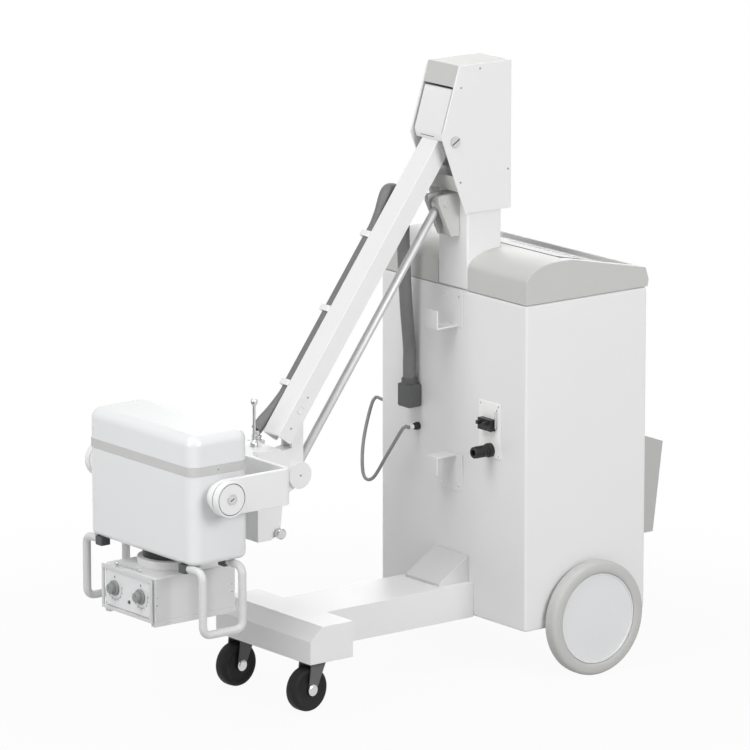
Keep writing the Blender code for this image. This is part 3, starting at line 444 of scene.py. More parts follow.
def make_block_tree():
    """Small blocks, one on each point, facing and lying along the point's two stored directions."""
    tree = geometry_tree("small_blocks", [
        ("Size", "Vector", (0.002, 0.002, 0.001)), ("Finish", "Material", None)])
    wire(tree, {
        "cube": "GeometryNodeMeshCube",
        "facing": stored("facing"),
        "along": stored("along"),
        "first": ("FunctionNodeAlignRotationToVector", {"axis": "Z"}, {}),
        "second": ("FunctionNodeAlignRotationToVector", {"axis": "Y", "pivot_axis": "Z"}, {}),
        "place": "GeometryNodeInstanceOnPoints",
        "real": "GeometryNodeRealizeInstances",
        "paint": "GeometryNodeSetMaterial",
    }, ["start.Size > cube.Size", "facing.Attribute > first.Vector", "first.Rotation > second.Rotation",
        "along.Attribute > second.Vector", "start.Geometry > place.Points", "cube.Mesh > place.Instance",
        "second.Rotation > place.Rotation", "place.Instances > real.Geometry",
        "real.Geometry > paint.Geometry",
        "start.Finish > paint.Material", "paint.Geometry > end.Geometry"])
    return tree


def make_ribbed_tree():
    """A hose with fine ribs: its radius rises and falls along the path."""
    tree = geometry_tree("ribbed_hose", [
        ("Radius", "Float", 0.0145), ("Rib Height", "Float", 0.0003),
        ("Rib Pitch", "Float", 0.005), ("Steps Per Rib", "Float", 4.0),
        ("Finish", "Material", None)])
    wire(tree, {
        "step": maths("DIVIDE"),
        "finer": ("GeometryNodeResampleCurve", {"mode": "LENGTH"}, {}),
        "where": "GeometryNodeSplineParameter",
        "share": maths("DIVIDE"),
        "turns": maths("MULTIPLY", {1: 2 * pi}),
        "wave": maths("SINE"),
        "rib": maths("MULTIPLY_ADD"),
        "ring": ("GeometryNodeCurvePrimitiveCircle", {}, {"Resolution": 20, "Radius": 1.0}),
        "skin": ("GeometryNodeCurveToMesh", {}, {"Fill Caps": True}),
        "smooth": "GeometryNodeSetShadeSmooth",
        "paint": "GeometryNodeSetMaterial",
    }, ["start.Rib Pitch > step.0", "start.Steps Per Rib > step.1", "start.Geometry > finer.Curve",
        "step.0 > finer.Length", "where.Length > share.0", "start.Rib Pitch > share.1", "share.0 > turns.0",
        "turns.0 > wave.0", "wave.0 > rib.0", "start.Rib Height > rib.1", "start.Radius > rib.2",
        "finer.Curve > skin.Curve", "ring.Curve > skin.Profile Curve", "rib.0 > skin.Scale",
        "skin.Mesh > smooth.Geometry", "smooth.Geometry > paint.Geometry", "start.Finish > paint.Material",
        "paint.Geometry > end.Geometry"])
    return tree


SCREWS = make_screw_tree()
BLOCKS = make_block_tree()
RIBBED = make_ribbed_tree()


def grown(name, source, tree, values):
    """The tree's result on a source object, as a plain mesh at the origin."""
    step = source.modifiers.new("grow", "NODES")
    step.node_group = tree
    for item in tree.interface.items_tree:
        if item.in_out == "INPUT" and item.name in values:
            step[item.identifier] = values[item.name]
    bpy.context.view_layer.update()
    ready = source.evaluated_get(bpy.context.evaluated_depsgraph_get())
    mesh = bpy.data.meshes.new_from_object(ready, preserve_all_data_layers=True,
                                           depsgraph=bpy.context.evaluated_depsgraph_get())
    mesh.name = name
    bpy.data.objects.remove(source, do_unlink=True)
    return link(name, mesh)


def points_with(name, rows):
    """A cloud of points, each with the direction it faces and the way it lies."""
    mesh = bpy.data.meshes.new(name)
    mesh.from_pydata([row[0] for row in rows], [], [])
    for label, column in (("facing", 1), ("along", 2)):
        store = mesh.attributes.new(label, "FLOAT_VECTOR", "POINT")
        for k, row in enumerate(rows):
            store.data[k].vector = row[column] if len(row) > column else (0.0, 0.0, 1.0)
    return link(name, mesh)


def screws(name, body, rows, radius, height):
    # The black on each head is painted shade for the screw's recess.
    made = grown(name, points_with(name + "_points", rows), SCREWS, {
        "Head Radius": radius, "Head Height": height, "Head Finish": STEEL, "Recess Finish": BLACK})
    return placed(made, body)


def blocks(name, body, rows, size, finish):
    made = grown(name, points_with(name + "_points", rows), BLOCKS, {"Size": size, "Finish": finish})
    return placed(made, body)


# Finished versions of the solids

PLAIN_FINISHES = [
    (POWDER, 0.0012, ["base_frame", "column", "mast_head", "head_carrier", "yoke"]),
    (POWDER, 0.0008, ["cabinet", "arm_beam", "arm_shroud", "cable_hook_upper", "cable_hook_lower",
                      "conduit_clip_1", "conduit_clip_2", "conduit_clip_3"]),
    (PLATE_WHITE, 0.0008, ["supply_plate"]),
    (GLOSS_WHITE, 0.0008, ["control_panel", "collimator_panel"]),
    (PALE, 0.0008, ["base_fairing", "collimator"]),
    (SHELL, 0.001, ["top_cover", "mast_cap", "mast_apron", "rod_bracket"]),
    (SHELL, 0.0, ["tube_head_band"]),
    (SHEET_GREY, 0.0008, ["cassette_bin"]),
    (DARK_GREY, 0.0006, ["caster_plate_right", "caster_plate_left", "caster_fork_right", "caster_fork_left"]),
    (BLACK, 0.0006, ["breaker"]),
    (GLASS, 0.0006, ["display_window"]),
]


def finish_solids():
    for finish, edge, names in PLAIN_FINISHES:
        for name in names:
            piece = refined(name, finish, edge)


def stands_for(piece, node):
    """A smoother turned or swept piece takes the place of its solid."""
    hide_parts(node)
    return placed(piece, body_of_node[node])


# Wheels

WHEEL_AT = Vector((0.0, 0.179 + SHIFT_Y, 0.1305))
WHEEL_IN = 0.266


def make_rear_wheels():
    tyre_shape = [(0.1034, 0.002), (0.112, 0.0012), (0.122, 0.0018), (0.1278, 0.0042), (0.1298, 0.008),
                  (0.1305, 0.013), (0.1305, 0.025), (0.1298, 0.03), (0.1278, 0.0338), (0.122, 0.0362),
                  (0.112, 0.0366), (0.105, 0.0352), (0.1034, 0.033)]
    hub_shape = [(0.001, 0.026), (0.0124, 0.026), (0.0124, 0.004), (0.099, 0.004),
                 (0.1028, 0.008), (0.1028, 0.0325), (0.102, 0.0336), (0.1005, 0.034), (0.099, 0.0334),
                 (0.0982, 0.0318), (0.096, 0.0314), (0.07, 0.0322), (0.035, 0.0328), (0.001, 0.033)]
    for side, sign in SIDES:
        centre = WHEEL_AT + Vector((sign * WHEEL_IN, 0.0, 0.0))
        facing = (sign, 0.0, 0.0)
        tyre = turned("tyre_" + side, centre, facing, tyre_shape, TYRE, 128, 60, hollow=True)
        stands_for(tyre, "rear_tyre_" + side)
        stands_for(turned("hub_" + side, centre, facing, hub_shape, GLOSS_WHITE, 96, 28), "rear_hub_" + side)
        stub = [(0.02, -0.0057), (0.02, 0.002), (0.012, 0.0021), (0.012, 0.024)]
        stands_for(turned("stub_axle_" + side, centre, facing, stub, STEEL, 40), "rear_axle_" + side)


CASTER_AT = Vector((0.0, -0.484 + SHIFT_Y, 0.05))
CASTER_TURN = radians(5)
CASTER_X, CASTER_TRAIL = 0.13, 0.027


def make_casters():
    half = [(0.0063, 0.015), (0.016, 0.015), (0.018, 0.014), (0.036, 0.0132), (0.0385, 0.015),
            (0.044, 0.0155), (0.048, 0.013), (0.0496, 0.009), (0.05, 0.004)]
    roller_shape = [(radius, -along) for radius, along in half] + half[::-1]
    cap_shape = [(0.013, 0.0), (0.013, 0.001), (0.011, 0.0028), (0.006, 0.0036), (0.001, 0.0036)]
    axis = Vector((cos(CASTER_TURN), sin(CASTER_TURN), 0.0))
    trail = Vector((sin(CASTER_TURN), -cos(CASTER_TURN), 0.0)) * CASTER_TRAIL
    for side, sign in SIDES:
        centre = CASTER_AT + Vector((sign * CASTER_X, 0.0, 0.0)) + trail
        roller = turned("roller_" + side, centre, axis, roller_shape, ROLLER, 72, 40, hollow=True)
        stands_for(roller, "caster_wheel_" + side)
        for label, way in (("outer", 1), ("inner", -1)):
            cap = turned("axle_cap_%s_%s" % (side, label), centre + axis * way * 0.0215, axis * way,
                         cap_shape, STEEL, 24)
            placed(cap, "caster_" + side)


# Head housing and its fittings

ROUND_STEPS = 10


def soft_block(name, low, high, upright, round_low, round_high, finish):
    """A block between two corners, with round upright corners and a rounded edge at each end."""
    levels = [(low.z, 0.0)]
    if round_low:
        levels = [(low.z + round_low * (1 - cos(a)), round_low * (1 - sin(a)))
                  for a in (pi / 2 * k / ROUND_STEPS for k in range(ROUND_STEPS + 1))]
    levels.append((high.z - round_high, 0.0))
    if round_high:
        levels += [(high.z - round_high * (1 - sin(a)), round_high * (1 - cos(a)))
                   for a in (pi / 2 * k / ROUND_STEPS for k in range(1, ROUND_STEPS + 1))]
    work = bmesh.new()
    rings = []
    for z, inset in levels:
        corner = upright - inset
        x0, x1 = low.x + upright, high.x - upright
        y0, y1 = low.y + upright, high.y - upright
        ring = []
        for cx, cy, turn in ((x1, y1, 0), (x0, y1, 1), (x0, y0, 2), (x1, y0, 3)):
            for k in range(ROUND_STEPS + 1):
                a = pi / 2 * (turn + k / ROUND_STEPS)
                ring.append(work.verts.new((cx + corner * cos(a), cy + corner * sin(a), z)))
        rings.append(ring)
    joined(work, rings)
    piece = mesh_from(name, work, finish, 40)
    flat_faces(piece)
    return piece


def make_housing():
    """The head's two halves, and the conduit's box with the collar in its top."""
    low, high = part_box("tube_head")
    stands_for(soft_block("head_housing", low, high, 0.028, 0.012, 0.0, GLOSS_WHITE), "tube_head")
    low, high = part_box("tube_head_lid")
    stands_for(soft_block("head_cover", low, high, 0.028, 0.0, 0.024, GLOSS_WHITE), "tube_head_lid")
    low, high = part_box("conduit_box")
    shoulder = Vector((high.x, high.y, high.z - 0.0135))
    box = soft_block("outlet_box", low, shoulder, 0.006, 0.0055, 0.002, BOX_GREY)
    top = high.z - shoulder.z
    collar = turned("outlet_collar", ((low.x + high.x) / 2, -0.0195 + SHIFT_Y, shoulder.z), UP, [
        (0.001, -0.001), (0.0178, -0.001), (0.0178, top - 0.0014), (0.0168, top), (0.015, top)],
        BOX_GREY, 40, 30)
    stands_for(join_as("outlet_box_whole", [box, collar]), "conduit_box")


TILT_AT = Vector((0.0, -0.793 + SHIFT_Y, 0.54))


def slot_shade_strip(name, place, centre, reach, half, facing, thick):
    """A black strip painted as the shade in a slot across a round end at x = place; reach runs along it and
    half across it, as (y, z).
    """
    corners = [Vector((place, centre.y + a * reach[0] - b * half[0], centre.z + a * reach[1] + b * half[1]))
               for a, b in ((-1, -1), (1, -1), (1, 1), (-1, 1))]
    return slab(name, corners, facing, thick, BLACK, 0.0)


def make_tilt_hubs():
    shape = [(0.03, 0.1943), (0.03, 0.211), (0.015, 0.2115), (0.015, 0.228), (0.0385, 0.228),
             (0.04, 0.2292), (0.04, 0.2425), (0.0394, 0.2442), (0.0378, 0.245), (0.036, 0.245),
             (0.0353, 0.2443), (0.0352, 0.2428), (0.0337, 0.2428), (0.0335, 0.2443), (0.0328, 0.245),
             (0.0132, 0.245), (0.0126, 0.2443), (0.0125, 0.243), (0.001, 0.243)]
    boss = [(0.0106, 0.2429), (0.0106, 0.2452), (0.0098, 0.2462), (0.006, 0.2466), (0.001, 0.2466)]
    gap = [(0.0383, 0.2262), (0.0383, 0.2281), (0.016, 0.2281), (0.016, 0.2262)]
    groove = [(0.0351, 0.2427), (0.0351, 0.2431), (0.0338, 0.2431), (0.0338, 0.2427)]
    for side, sign in SIDES:
        facing = (sign, 0.0, 0.0)
        stands_for(turned("hub_disc_" + side, TILT_AT, facing, shape, POWDER, 72, 30), "tilt_hub_" + side)
        body = body_of_node["tilt_hub_" + side]
        placed(turned("hub_boss_" + side, TILT_AT, facing, boss, STEEL, 48, 30), body)
        # The black rings in the gap behind the flange and in the face's groove, and the black strip in the
        # boss's slot, are painted shade.
        dark = join_as("hub_shade_rings_" + side, [
            turned("hub_gap", TILT_AT, facing, gap, BLACK, 72, 30, hollow=True),
            turned("hub_groove", TILT_AT, facing, groove, BLACK, 72, 30, hollow=True),
            slot_shade_strip("hub_slot_shade", sign * 0.2466, TILT_AT, (0.0046, 0.0027), (0.0005, 0.0009),
                        facing, 0.0002)])
        placed(dark, body)


def swept(name, route, radius, finish, rings=20):
    """A smooth round tube along a path, as a mesh."""
    curve = line_through(name, route)
    curve.bevel_depth = radius
    curve.bevel_resolution = rings // 4
    curve.use_fill_caps = True
    holder = link(name + "_line", curve)
    bpy.context.view_layer.update()
    mesh = bpy.data.meshes.new_from_object(holder)
    bpy.data.objects.remove(holder, do_unlink=True)
    mesh.name = name
    mesh.shade_smooth()
    mesh.set_sharp_from_angle(angle=radians(50))
    mesh.materials.clear()
    mesh.materials.append(finish)
    return link(name, mesh)


def rounded_corners(corners, bend, steps=12):
    """A path of straight runs with circular bends."""
    corners = [Vector(c) for c in corners]
    out = [corners[0]]
    for before, here, after in zip(corners, corners[1:], corners[2:]):
        start = here + (before - here).normalized() * bend
        end = here + (after - here).normalized() * bend
        for s in range(steps + 1):
            u = s / steps
            out.append(start * (1 - u) ** 2 + here * 2 * u * (1 - u) + end * u ** 2)
    out.append(corners[-1])
    return out


HANDLE_X, HANDLE_TUCK, HANDLE_LOW, HANDLE_LEVEL = 0.215, 0.15, 0.242, 0.3807
HANDLE_R = 0.009
HANDLE_ENDS = (-0.85 + SHIFT_Y, -0.745 + SHIFT_Y)
CLAMP_IN, CLAMP_OUT, CLAMP_HALF, CLAMP_DROP = 0.008, 0.016, 0.0125, 0.0105


def make_handles():
    floor_of_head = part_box("tube_head")[0].z
    for side, sign in SIDES:
        x, tuck = sign * HANDLE_X, sign * HANDLE_TUCK
        y0, y1 = HANDLE_ENDS
        route = rounded_corners([
            (tuck, y0, HANDLE_LEVEL), (x, y0, HANDLE_LEVEL), (x, y0, HANDLE_LOW), (x, y1, HANDLE_LOW),
            (x, y1, HANDLE_LEVEL), (tuck, y1, HANDLE_LEVEL)], 0.022)
        stands_for(swept("grab_handle_" + side, route, HANDLE_R, PALE, 28), "handle_" + side)
        near, far = sorted((tuck - sign * CLAMP_IN, tuck + sign * CLAMP_OUT))
        feet = []
        for y in HANDLE_ENDS:
            low = Vector((near, y - CLAMP_HALF, HANDLE_LEVEL - CLAMP_DROP))
            high = Vector((far, y + CLAMP_HALF, floor_of_head - 0.0002))
            feet.append(soft_block("handle_foot", low, high, 0.003, 0.002, 0.0, DARK_GREY))
        placed(join_as("handle_clamps_" + side, feet), "head")


def make_lever_and_knobs():
    lever_at = Vector((0.0, -0.552 + SHIFT_Y, 0.0))
    lever = turned("lever", lever_at, UP, [
        (0.0088, 0.5753), (0.0088, 0.584), (0.0078, 0.5856), (0.004, 0.588), (0.0034, 0.592),
        (0.0034, 0.666), (0.0042, 0.668), (0.0062, 0.67), (0.0076, 0.6735), (0.008, 0.6775),
        (0.0074, 0.6806), (0.0058, 0.6826), (0.003, 0.683)], STEEL, 32, 50)
    stands_for(lever, "release_lever")
    low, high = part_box("swivel_lock_knob")
    centre = (low + high) / 2
    knob = turned("lock_knob", (0.0, centre.y, centre.z), RIGHT, [
        (0.005, 0.0503), (0.0118, 0.053), (0.0122, 0.055), (0.0122, 0.0635), (0.0112, 0.0652),
        (0.009, 0.067), (0.002, 0.067)], STEEL, 40, 30)
    stands_for(knob, "swivel_lock_knob")
    low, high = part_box("conduit_gland")
    centre = (low + high) / 2
    gland = turned("gland_at_carrier", (centre.x, centre.y, low.z), UP, [
        (0.0112, 0.0), (0.0112, 0.003), (0.01, 0.0034), (0.01, 0.0044), (0.0112, 0.0048),
        (0.0112, 0.012), (0.0094, 0.013), (0.0094, high.z - low.z)], STEEL, 32, 30)
    stands_for(gland, "conduit_gland")
    collar_y = (-0.894 - 0.672) / 2 + SHIFT_Y
    collar = turned("turning_collar", (0.0, collar_y, 0.0), UP, [
        (0.07, 0.3503), (0.07, 0.366), (0.069, 0.368), (0.06, 0.3694)], PALE, 72, 30)
    # The neck is black as painted shade: it stands for the shade under the tube head, above the collimator.
    neck = turned("turning_neck_shade", (0.0, collar_y, 0.0), UP, [
        (0.058, 0.3693), (0.058, 0.3897)], BLACK, 72, 30)
    stands_for(join_as("turning_collar_whole", [collar, neck]), "collimator_collar")


DIAL_Z, DIAL_X, DIAL_FACE = 0.302, 0.048, -0.894 + SHIFT_Y


KNOB_SIDES, KNOB_FLUTES, FLUTE_DEPTH = 96, 16, 0.0005


def make_collimator_knobs():
    """Fluted knobs, each with a pointer line, on a printed dial of marks."""
    for side, sign in SIDES:
        centre = Vector((sign * DIAL_X, DIAL_FACE, DIAL_Z))
        work = bmesh.new()
        rings = []
        for radius, along in ((0.0168, 0.0003), (0.0168, 0.004), (0.0156, 0.0052), (0.0112, 0.0058),
                              (0.0112, 0.014), (0.0104, 0.0156), (0.0088, 0.016)):
            ring = []
            for k in range(KNOB_SIDES):
                turn = 2 * pi * k / KNOB_SIDES
                flute = FLUTE_DEPTH * cos(turn * KNOB_FLUTES) if 0.0055 < along < 0.015 else 0.0
                r = radius + flute
                ring.append(work.verts.new(centre + Vector((r * cos(turn), -along, r * sin(turn)))))
            rings.append(ring)
        joined(work, rings)
        stands_for(mesh_from("dial_knob_" + side, work, KNOB_GREY), "collimator_knob_" + side)
        lean = radians(35 * sign)
        way = Vector((sin(lean), 0.0, cos(lean)))
        across = Vector((cos(lean), 0.0, -sin(lean)))
        top = centre + Vector((0.0, -0.016, 0.0))
        mark = slab("knob_mark_" + side, [top + across * a * 0.0006 + way * b
                                          for a, b in ((-1, 0.001), (1, 0.001), (1, 0.0082), (-1, 0.0082))],
                    FRONT, 0.00015, PRINT_AND_SHADE, 0.0)
        placed(mark, body_of_node["collimator_knob_" + side])


def arc_rows(centre, radius, start, end, count):
    """Rows of mark places on an arc round centre, on the collimator's front."""
    rows = []
    for k in range(count):
        turn = radians(start + (end - start) * k / (count - 1))
        way = Vector((sin(turn), 0.0, cos(turn)))
        rows.append((centre + way * radius, Vector(FRONT), way))
    return rows


def make_dials():
    fine, coarse, zero = [], [], []
    for sign in (1, -1):
        centre = Vector((sign * DIAL_X, DIAL_FACE - 0.0001, DIAL_Z))
        zero.append((centre + Vector(UP) * 0.0245, Vector(FRONT), Vector(UP)))
        fine += arc_rows(centre, 0.0255, 80, 250, 29)
        coarse += arc_rows(centre, 0.027, 80, 250, 8)
    for label, rows, wide, tall in (("fine", fine, 0.0007, 0.003), ("zero", zero, 0.003, 0.005),
                                    ("coarse", coarse, 0.0012, 0.006)):
        blocks("dial_marks_" + label, "beam_limiter", rows, (wide, tall, 0.0002), PRINT_AND_SHADE)


def border(name, half, low, high, wide, face, raised, finish):
    """A rectangular rim with mitred corners and softened edges, on a face towards -Y."""
    work = bmesh.new()
    loops = []
    for inset, lift in ((0.0, 0.0), (0.0, raised), (wide, raised), (wide, 0.0)):
        x, z0, z1 = half - inset, low + inset, high - inset
        loops.append([work.verts.new((a, face - lift, b)) for a, b in ((-x, z0), (x, z0), (x, z1), (-x, z1))])
    joined(work, loops, True)
    corners = [e for e in work.edges if e.calc_face_angle() > radians(30)]
    bmesh.ops.bevel(work, geom=corners, offset=0.0012, segments=3, affect="EDGES", profile=0.5)
    return mesh_from(name, work, finish)


def facing_rows(spots, way):
    """Screw places measured from the cabinet's front face, all facing one way."""
    return [(spot, Vector(way)) for spot in shifted(spots)]


def side_rows(x, spots):
    """Screw places on both sides, at x and -x, facing outwards."""
    return [row for sign in (1, -1)
            for row in facing_rows([(sign * x, y, z) for y, z in spots], (sign, 0.0, 0.0))]


def make_collimator_front():
    """A raised frame round the front panel, a small field lamp key, screws and the field lamp's lever."""
    face = DIAL_FACE
    rim = border("panel_frame", 0.0915, 0.2515, 0.349, 0.007, face, 0.004, PALE)
    placed(rim, "beam_limiter")
    key = turned("lamp_key", (0.006, face, 0.281), FRONT, [
        (0.004, 0.0), (0.004, 0.001), (0.003, 0.0014), (0.003, 0.0026), (0.0024, 0.0031),
        (0.0005, 0.0032)], DARK_GREY, 28, 30)
    placed(key, "beam_limiter")
    rows = [(Vector((x, face, z)), Vector(FRONT)) for x in (-0.079, 0.079) for z in (0.2635, 0.337)]
    screws("panel_screws", "beam_limiter", rows, 0.0022, 0.001)
    sides = side_rows(0.092, [(y, z) for y in (-0.8825, -0.682) for z in (0.289, 0.306)])
    screws("side_screws", "beam_limiter", sides, 0.0024, 0.001)
    arm = swept("lamp_lever", rounded_corners([
        Vector((0.03, face + 0.012, 0.3515)), Vector((0.03, face + 0.012, 0.356)),
        Vector((-0.046, face + 0.006, 0.356))], 0.002, 6), 0.0016, STEEL, 16)
    grip = turned("lamp_lever_grip", (-0.044, face + 0.006, 0.356), (-1, 0, 0), [
        (0.003, 0.0), (0.0038, 0.001), (0.0038, 0.011), (0.0026, 0.0124)], STEEL, 24, 30)
    placed(join_as("lamp_lever_whole", [arm, grip]), "beam_limiter")


def make_pin_ends():
    """Slotted chrome ends of the arm's pin, each slot a black strip of painted shade."""
    finish_pin = turned("pivot_pin", TOP_PIVOT, RIGHT, [
        (0.0118, -0.061), (0.013, -0.06), (0.013, -0.0573), (0.01, -0.0572), (0.01, 0.0572),
        (0.013, 0.0573), (0.013, 0.06), (0.0118, 0.061), (0.001, 0.0612)], STEEL, 48, 30)
    stands_for(finish_pin, "arm_pin")
    for side, sign in SIDES:
        # Each slot is a black strip of painted shade.
        groove = slot_shade_strip("pin_slot_shade_" + side, sign * 0.0611, TOP_PIVOT, (0.0095, 0.006), (0.0006, 0.001),
                             (sign, 0.0, 0.0), 0.0003)
        placed(groove, body_of_node["arm_pin"])


def make_rod():
    """The levelling rod: a smooth bar with a flat eye at each end."""
    rod_low = LOW_PIVOT - Vector(UP) * ROD_DROP
    bar = turned("rod_bar", rod_low, -ARM_DIR, [
        (0.006, 0.014), (0.0095, 0.02), (0.0095, ARM_LONG - 0.02), (0.006, ARM_LONG - 0.014)],
        ROD, 40, 40)
    eyes = []
    for name, at in (("low", rod_low), ("top", rod_low - ARM_DIR * ARM_LONG)):
        eyes.append(turned("rod_eye_" + name, at, RIGHT, [
            (0.0063, -0.0085), (0.0148, -0.0085), (0.016, -0.0073), (0.016, 0.0073), (0.0148, 0.0085),
            (0.0063, 0.0085)], ROD, 48, 30, hollow=True))
    stands_for(join_as("rod_finished", [bar] + eyes), "levelling_rod")


LEAD_X, LEAD_Z, EDGE_Y, EDGE_Z = -0.123, 0.52, 0.03, 0.545


def make_glands():
    supply = turned("supply_inlet", (0.14, SHIFT_Y, 0.514), FRONT, [
        (0.016, 0.0033), (0.016, 0.012), (0.015, 0.0134), (0.0134, 0.0138), (0.0134, 0.0212),
        (0.0122, 0.022), (0.0122, 0.0236), (0.0136, 0.0244), (0.0136, 0.0318), (0.0124, 0.0326),
        (0.0124, 0.0342), (0.0136, 0.035), (0.0136, 0.0424), (0.0124, 0.0432), (0.0124, 0.0446),
        (0.0132, 0.0454), (0.013, 0.0502), (0.0116, 0.052), (0.0076, 0.052), (0.007, 0.042),
        (0.001, 0.042)], BLACK, 40, 35)
    stands_for(supply, "supply_gland")
    lead = turned("lead_gland", (LEAD_X, SHIFT_Y, LEAD_Z), FRONT, [
        (0.009, 0.0003), (0.009, 0.007), (0.008, 0.0078), (0.008, 0.012), (0.006, 0.016)],
        BLACK, 32, 30)
    stands_for(lead, "sensor_gland")
    sleeve = turned("lead_sleeve", (LEAD_X, SHIFT_Y, LEAD_Z), FRONT, [
        (0.0043, 0.014), (0.0058, 0.014), (0.0058, 0.0245), (0.005, 0.0262), (0.0043, 0.0262)],
        POWDER, 28, 30, hollow=True)
    placed(sleeve, "machine")
    side = turned("edge_gland", (0.0, EDGE_Y + SHIFT_Y, EDGE_Z), (-1, 0, 0), [
        (0.009, 0.2593), (0.009, 0.267), (0.008, 0.2678), (0.008, 0.272), (0.006, 0.276)],
        BLACK, 32, 30)
    stands_for(side, "side_gland")


def make_fasteners():
    """Screws that hold the sheets, hooks and plates."""
    mast = side_rows(0.057, [(0.0295, 1.358), (-0.0238, 1.32), (0.11, 1.124), (-0.0245, 1.108)])
    screws("mast_screws", "machine", mast, 0.0032, 0.001)
    hooks = facing_rows([(x, -0.003, z) for z in (0.842, 0.409) for x in (-0.026, 0.026)], FRONT)
    screws("hook_screws", "machine", hooks, 0.0034, 0.0014)
    plate = facing_rows([(x, -0.003, z) for x in (0.1045, 0.168) for z in (0.503, 0.616)], FRONT)
    screws("plate_screws", "machine", plate, 0.0026, 0.0012)
    back = [(x, 0.348, z) for x in (-0.236, -0.118, 0.0, 0.118, 0.236) for z in (0.142, 0.838)]
    back += [(x, 0.348, z) for x in (-0.236, 0.236) for z in (0.316, 0.49, 0.664)]
    screws("back_screws", "machine", facing_rows(back, BACK), 0.0036, 0.0014)
    tray = facing_rows([(x, 0.3505, z) for x in (-0.15, 0.0, 0.15) for z in (0.33, 0.49)], BACK)
    screws("bin_screws", "machine", tray, 0.0034, 0.0014)
    arm = [(on_arm(along, 0.0, sign * 0.0285), Vector((sign, 0.0, 0.0)))
           for sign in (1, -1) for along in (0.655, 0.733)]
    screws("arm_screws", "arm", arm, 0.003, 0.001)
    screws("band_screws", "head", side_rows(0.194, [(-0.792, 0.597)]), 0.003, 0.001)


def panel_point(x, along):
    """A point just above the control panel's face, with its slope and normal: along runs down the slope."""
    low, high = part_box("control_panel")
    run = high.y - low.y
    drop = high.z - low.z - 0.004
    slope = Vector((0.0, run, -drop)).normalized()
    normal = Vector((0.0, -slope.z, slope.y))
    return Vector((x, low.y, high.z)) + slope * along + normal * 0.0001, slope, normal


def make_panel_details():
    """Keys in two blocks, round indicator lamps and fine print lines on the control panel."""
    rows, lamps, lines = [], [], []
    for column in range(4):
        for line in range(3):
            for sign in (1, -1):
                x = sign * (0.175 + 0.0145 * column - 0.012)
                at, slope, normal = panel_point(x, 0.04 + line * 0.02)
                rows.append((at + normal * 0.0006, normal, slope))
    for column in range(9):
        at, slope, normal = panel_point(-0.12 + 0.03 * column, 0.15)
        rows.append((at + normal * 0.0006, normal, slope))
        lamp, slope, normal = panel_point(-0.12 + 0.03 * column, 0.136)
        lamps.append((lamp + normal * 0.0002, normal, slope))
        mark, slope, normal = panel_point(-0.12 + 0.03 * column, 0.163)
        lines.append((mark, normal, slope))
    keys = blocks("panel_keys", "machine", rows, (0.0105, 0.0105, 0.0014), KEY_BLUE)
    soften = keys.modifiers.new("soft_keys", "BEVEL")
    soften.width = 0.0005
    soften.segments = 2
    blocks("panel_lamps", "machine", lamps, (0.003, 0.003, 0.0006), PRINT_AND_SHADE)
    blocks("panel_lines", "machine", lines, (0.016, 0.0006, 0.0002), PRINT_AND_SHADE)


def make_small_lines():
    """A dark strip painted as the shade in the shroud's slot, the shroud's inner flange, the carrier's hub
    screws and the breaker's chrome guard.
    """
    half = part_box("arm_shroud")[1].x - 0.001
    near, far = Vector((0.0, -0.0024, 0.1155)), Vector((0.0, 0.02, 0.1137))
    flange = slab("shroud_flange", [TOP_PIVOT + Vector((x, 0.0, 0.0)) + end
                                    for x, end in ((-half, near), (half, near), (half, far), (-half, far))],
                  (0, 0, -1), 0.0036, POWDER, 0.0003)
    placed(flange, "arm")
    rod_low = LOW_PIVOT - Vector(UP) * ROD_DROP
    hub_half = max(v.co.x for v in frame["nodes"]["head_carrier"].data.vertices
                   if (v.co - rod_low).yz.length < 0.03)
    ends = [(rod_low + Vector((sign * hub_half, 0.0, 0.0)), Vector((sign, 0.0, 0.0))) for sign in (1, -1)]
    screws("hub_screws", "carrier", ends, 0.0034, 0.0012)
    foot = on_arm(0.014, ARM_DEEP / 2 + 0.0003)
    top = Vector((0.0, -0.0715 + SHIFT_Y, 1.2225))
    up = (top - foot).normalized()
    out = Vector((0.0, up.z, -up.y))
    out = out if out.y < 0 else -out
    at = foot + up * 0.0075 + out * 0.0001
    # The shroud's slot is a thin dark strip of painted shade on its face.
    slot_shade_line = slab("shroud_slot_shade", [
        at + Vector((x, 0.0, 0.0)) + up * z
        for x, z in ((-0.03, 0.0), (0.018, 0.0), (0.018, 0.0016), (-0.03, 0.0016))], out, 0.0002, PRINT_AND_SHADE, 0.0)
    placed(slot_shade_line, body_of_node["arm_shroud"])
    x, flush, proud, high, low = 0.1625, -0.0034, -0.008, 0.608, 0.566
    guard = swept("breaker_guard", rounded_corners(shifted([
        (x, flush, high), (x, proud, high), (x, proud, low), (x, flush, low)]), 0.003, 6), 0.0015, STEEL, 16)
    placed(guard, "machine")


finish_solids()
make_rear_wheels()
make_casters()
make_housing()
make_tilt_hubs()
make_handles()
make_lever_and_knobs()
make_collimator_knobs()
make_dials()
make_collimator_front()
make_pin_ends()
make_rod()
make_glands()
make_fasteners()
make_panel_details()
make_small_lines()


# Conduit and lead

def ribbed(name, route, radius, finish):
    """A ribbed hose along a path, as a plain mesh with fine steps."""
    line = link(name + "_path", line_through(name + "_path", route))
    return grown(name, line, RIBBED, {"Radius": radius, "Finish": finish})


CLIP_FIRST, CLIP_LAST = 0.262, 0.64


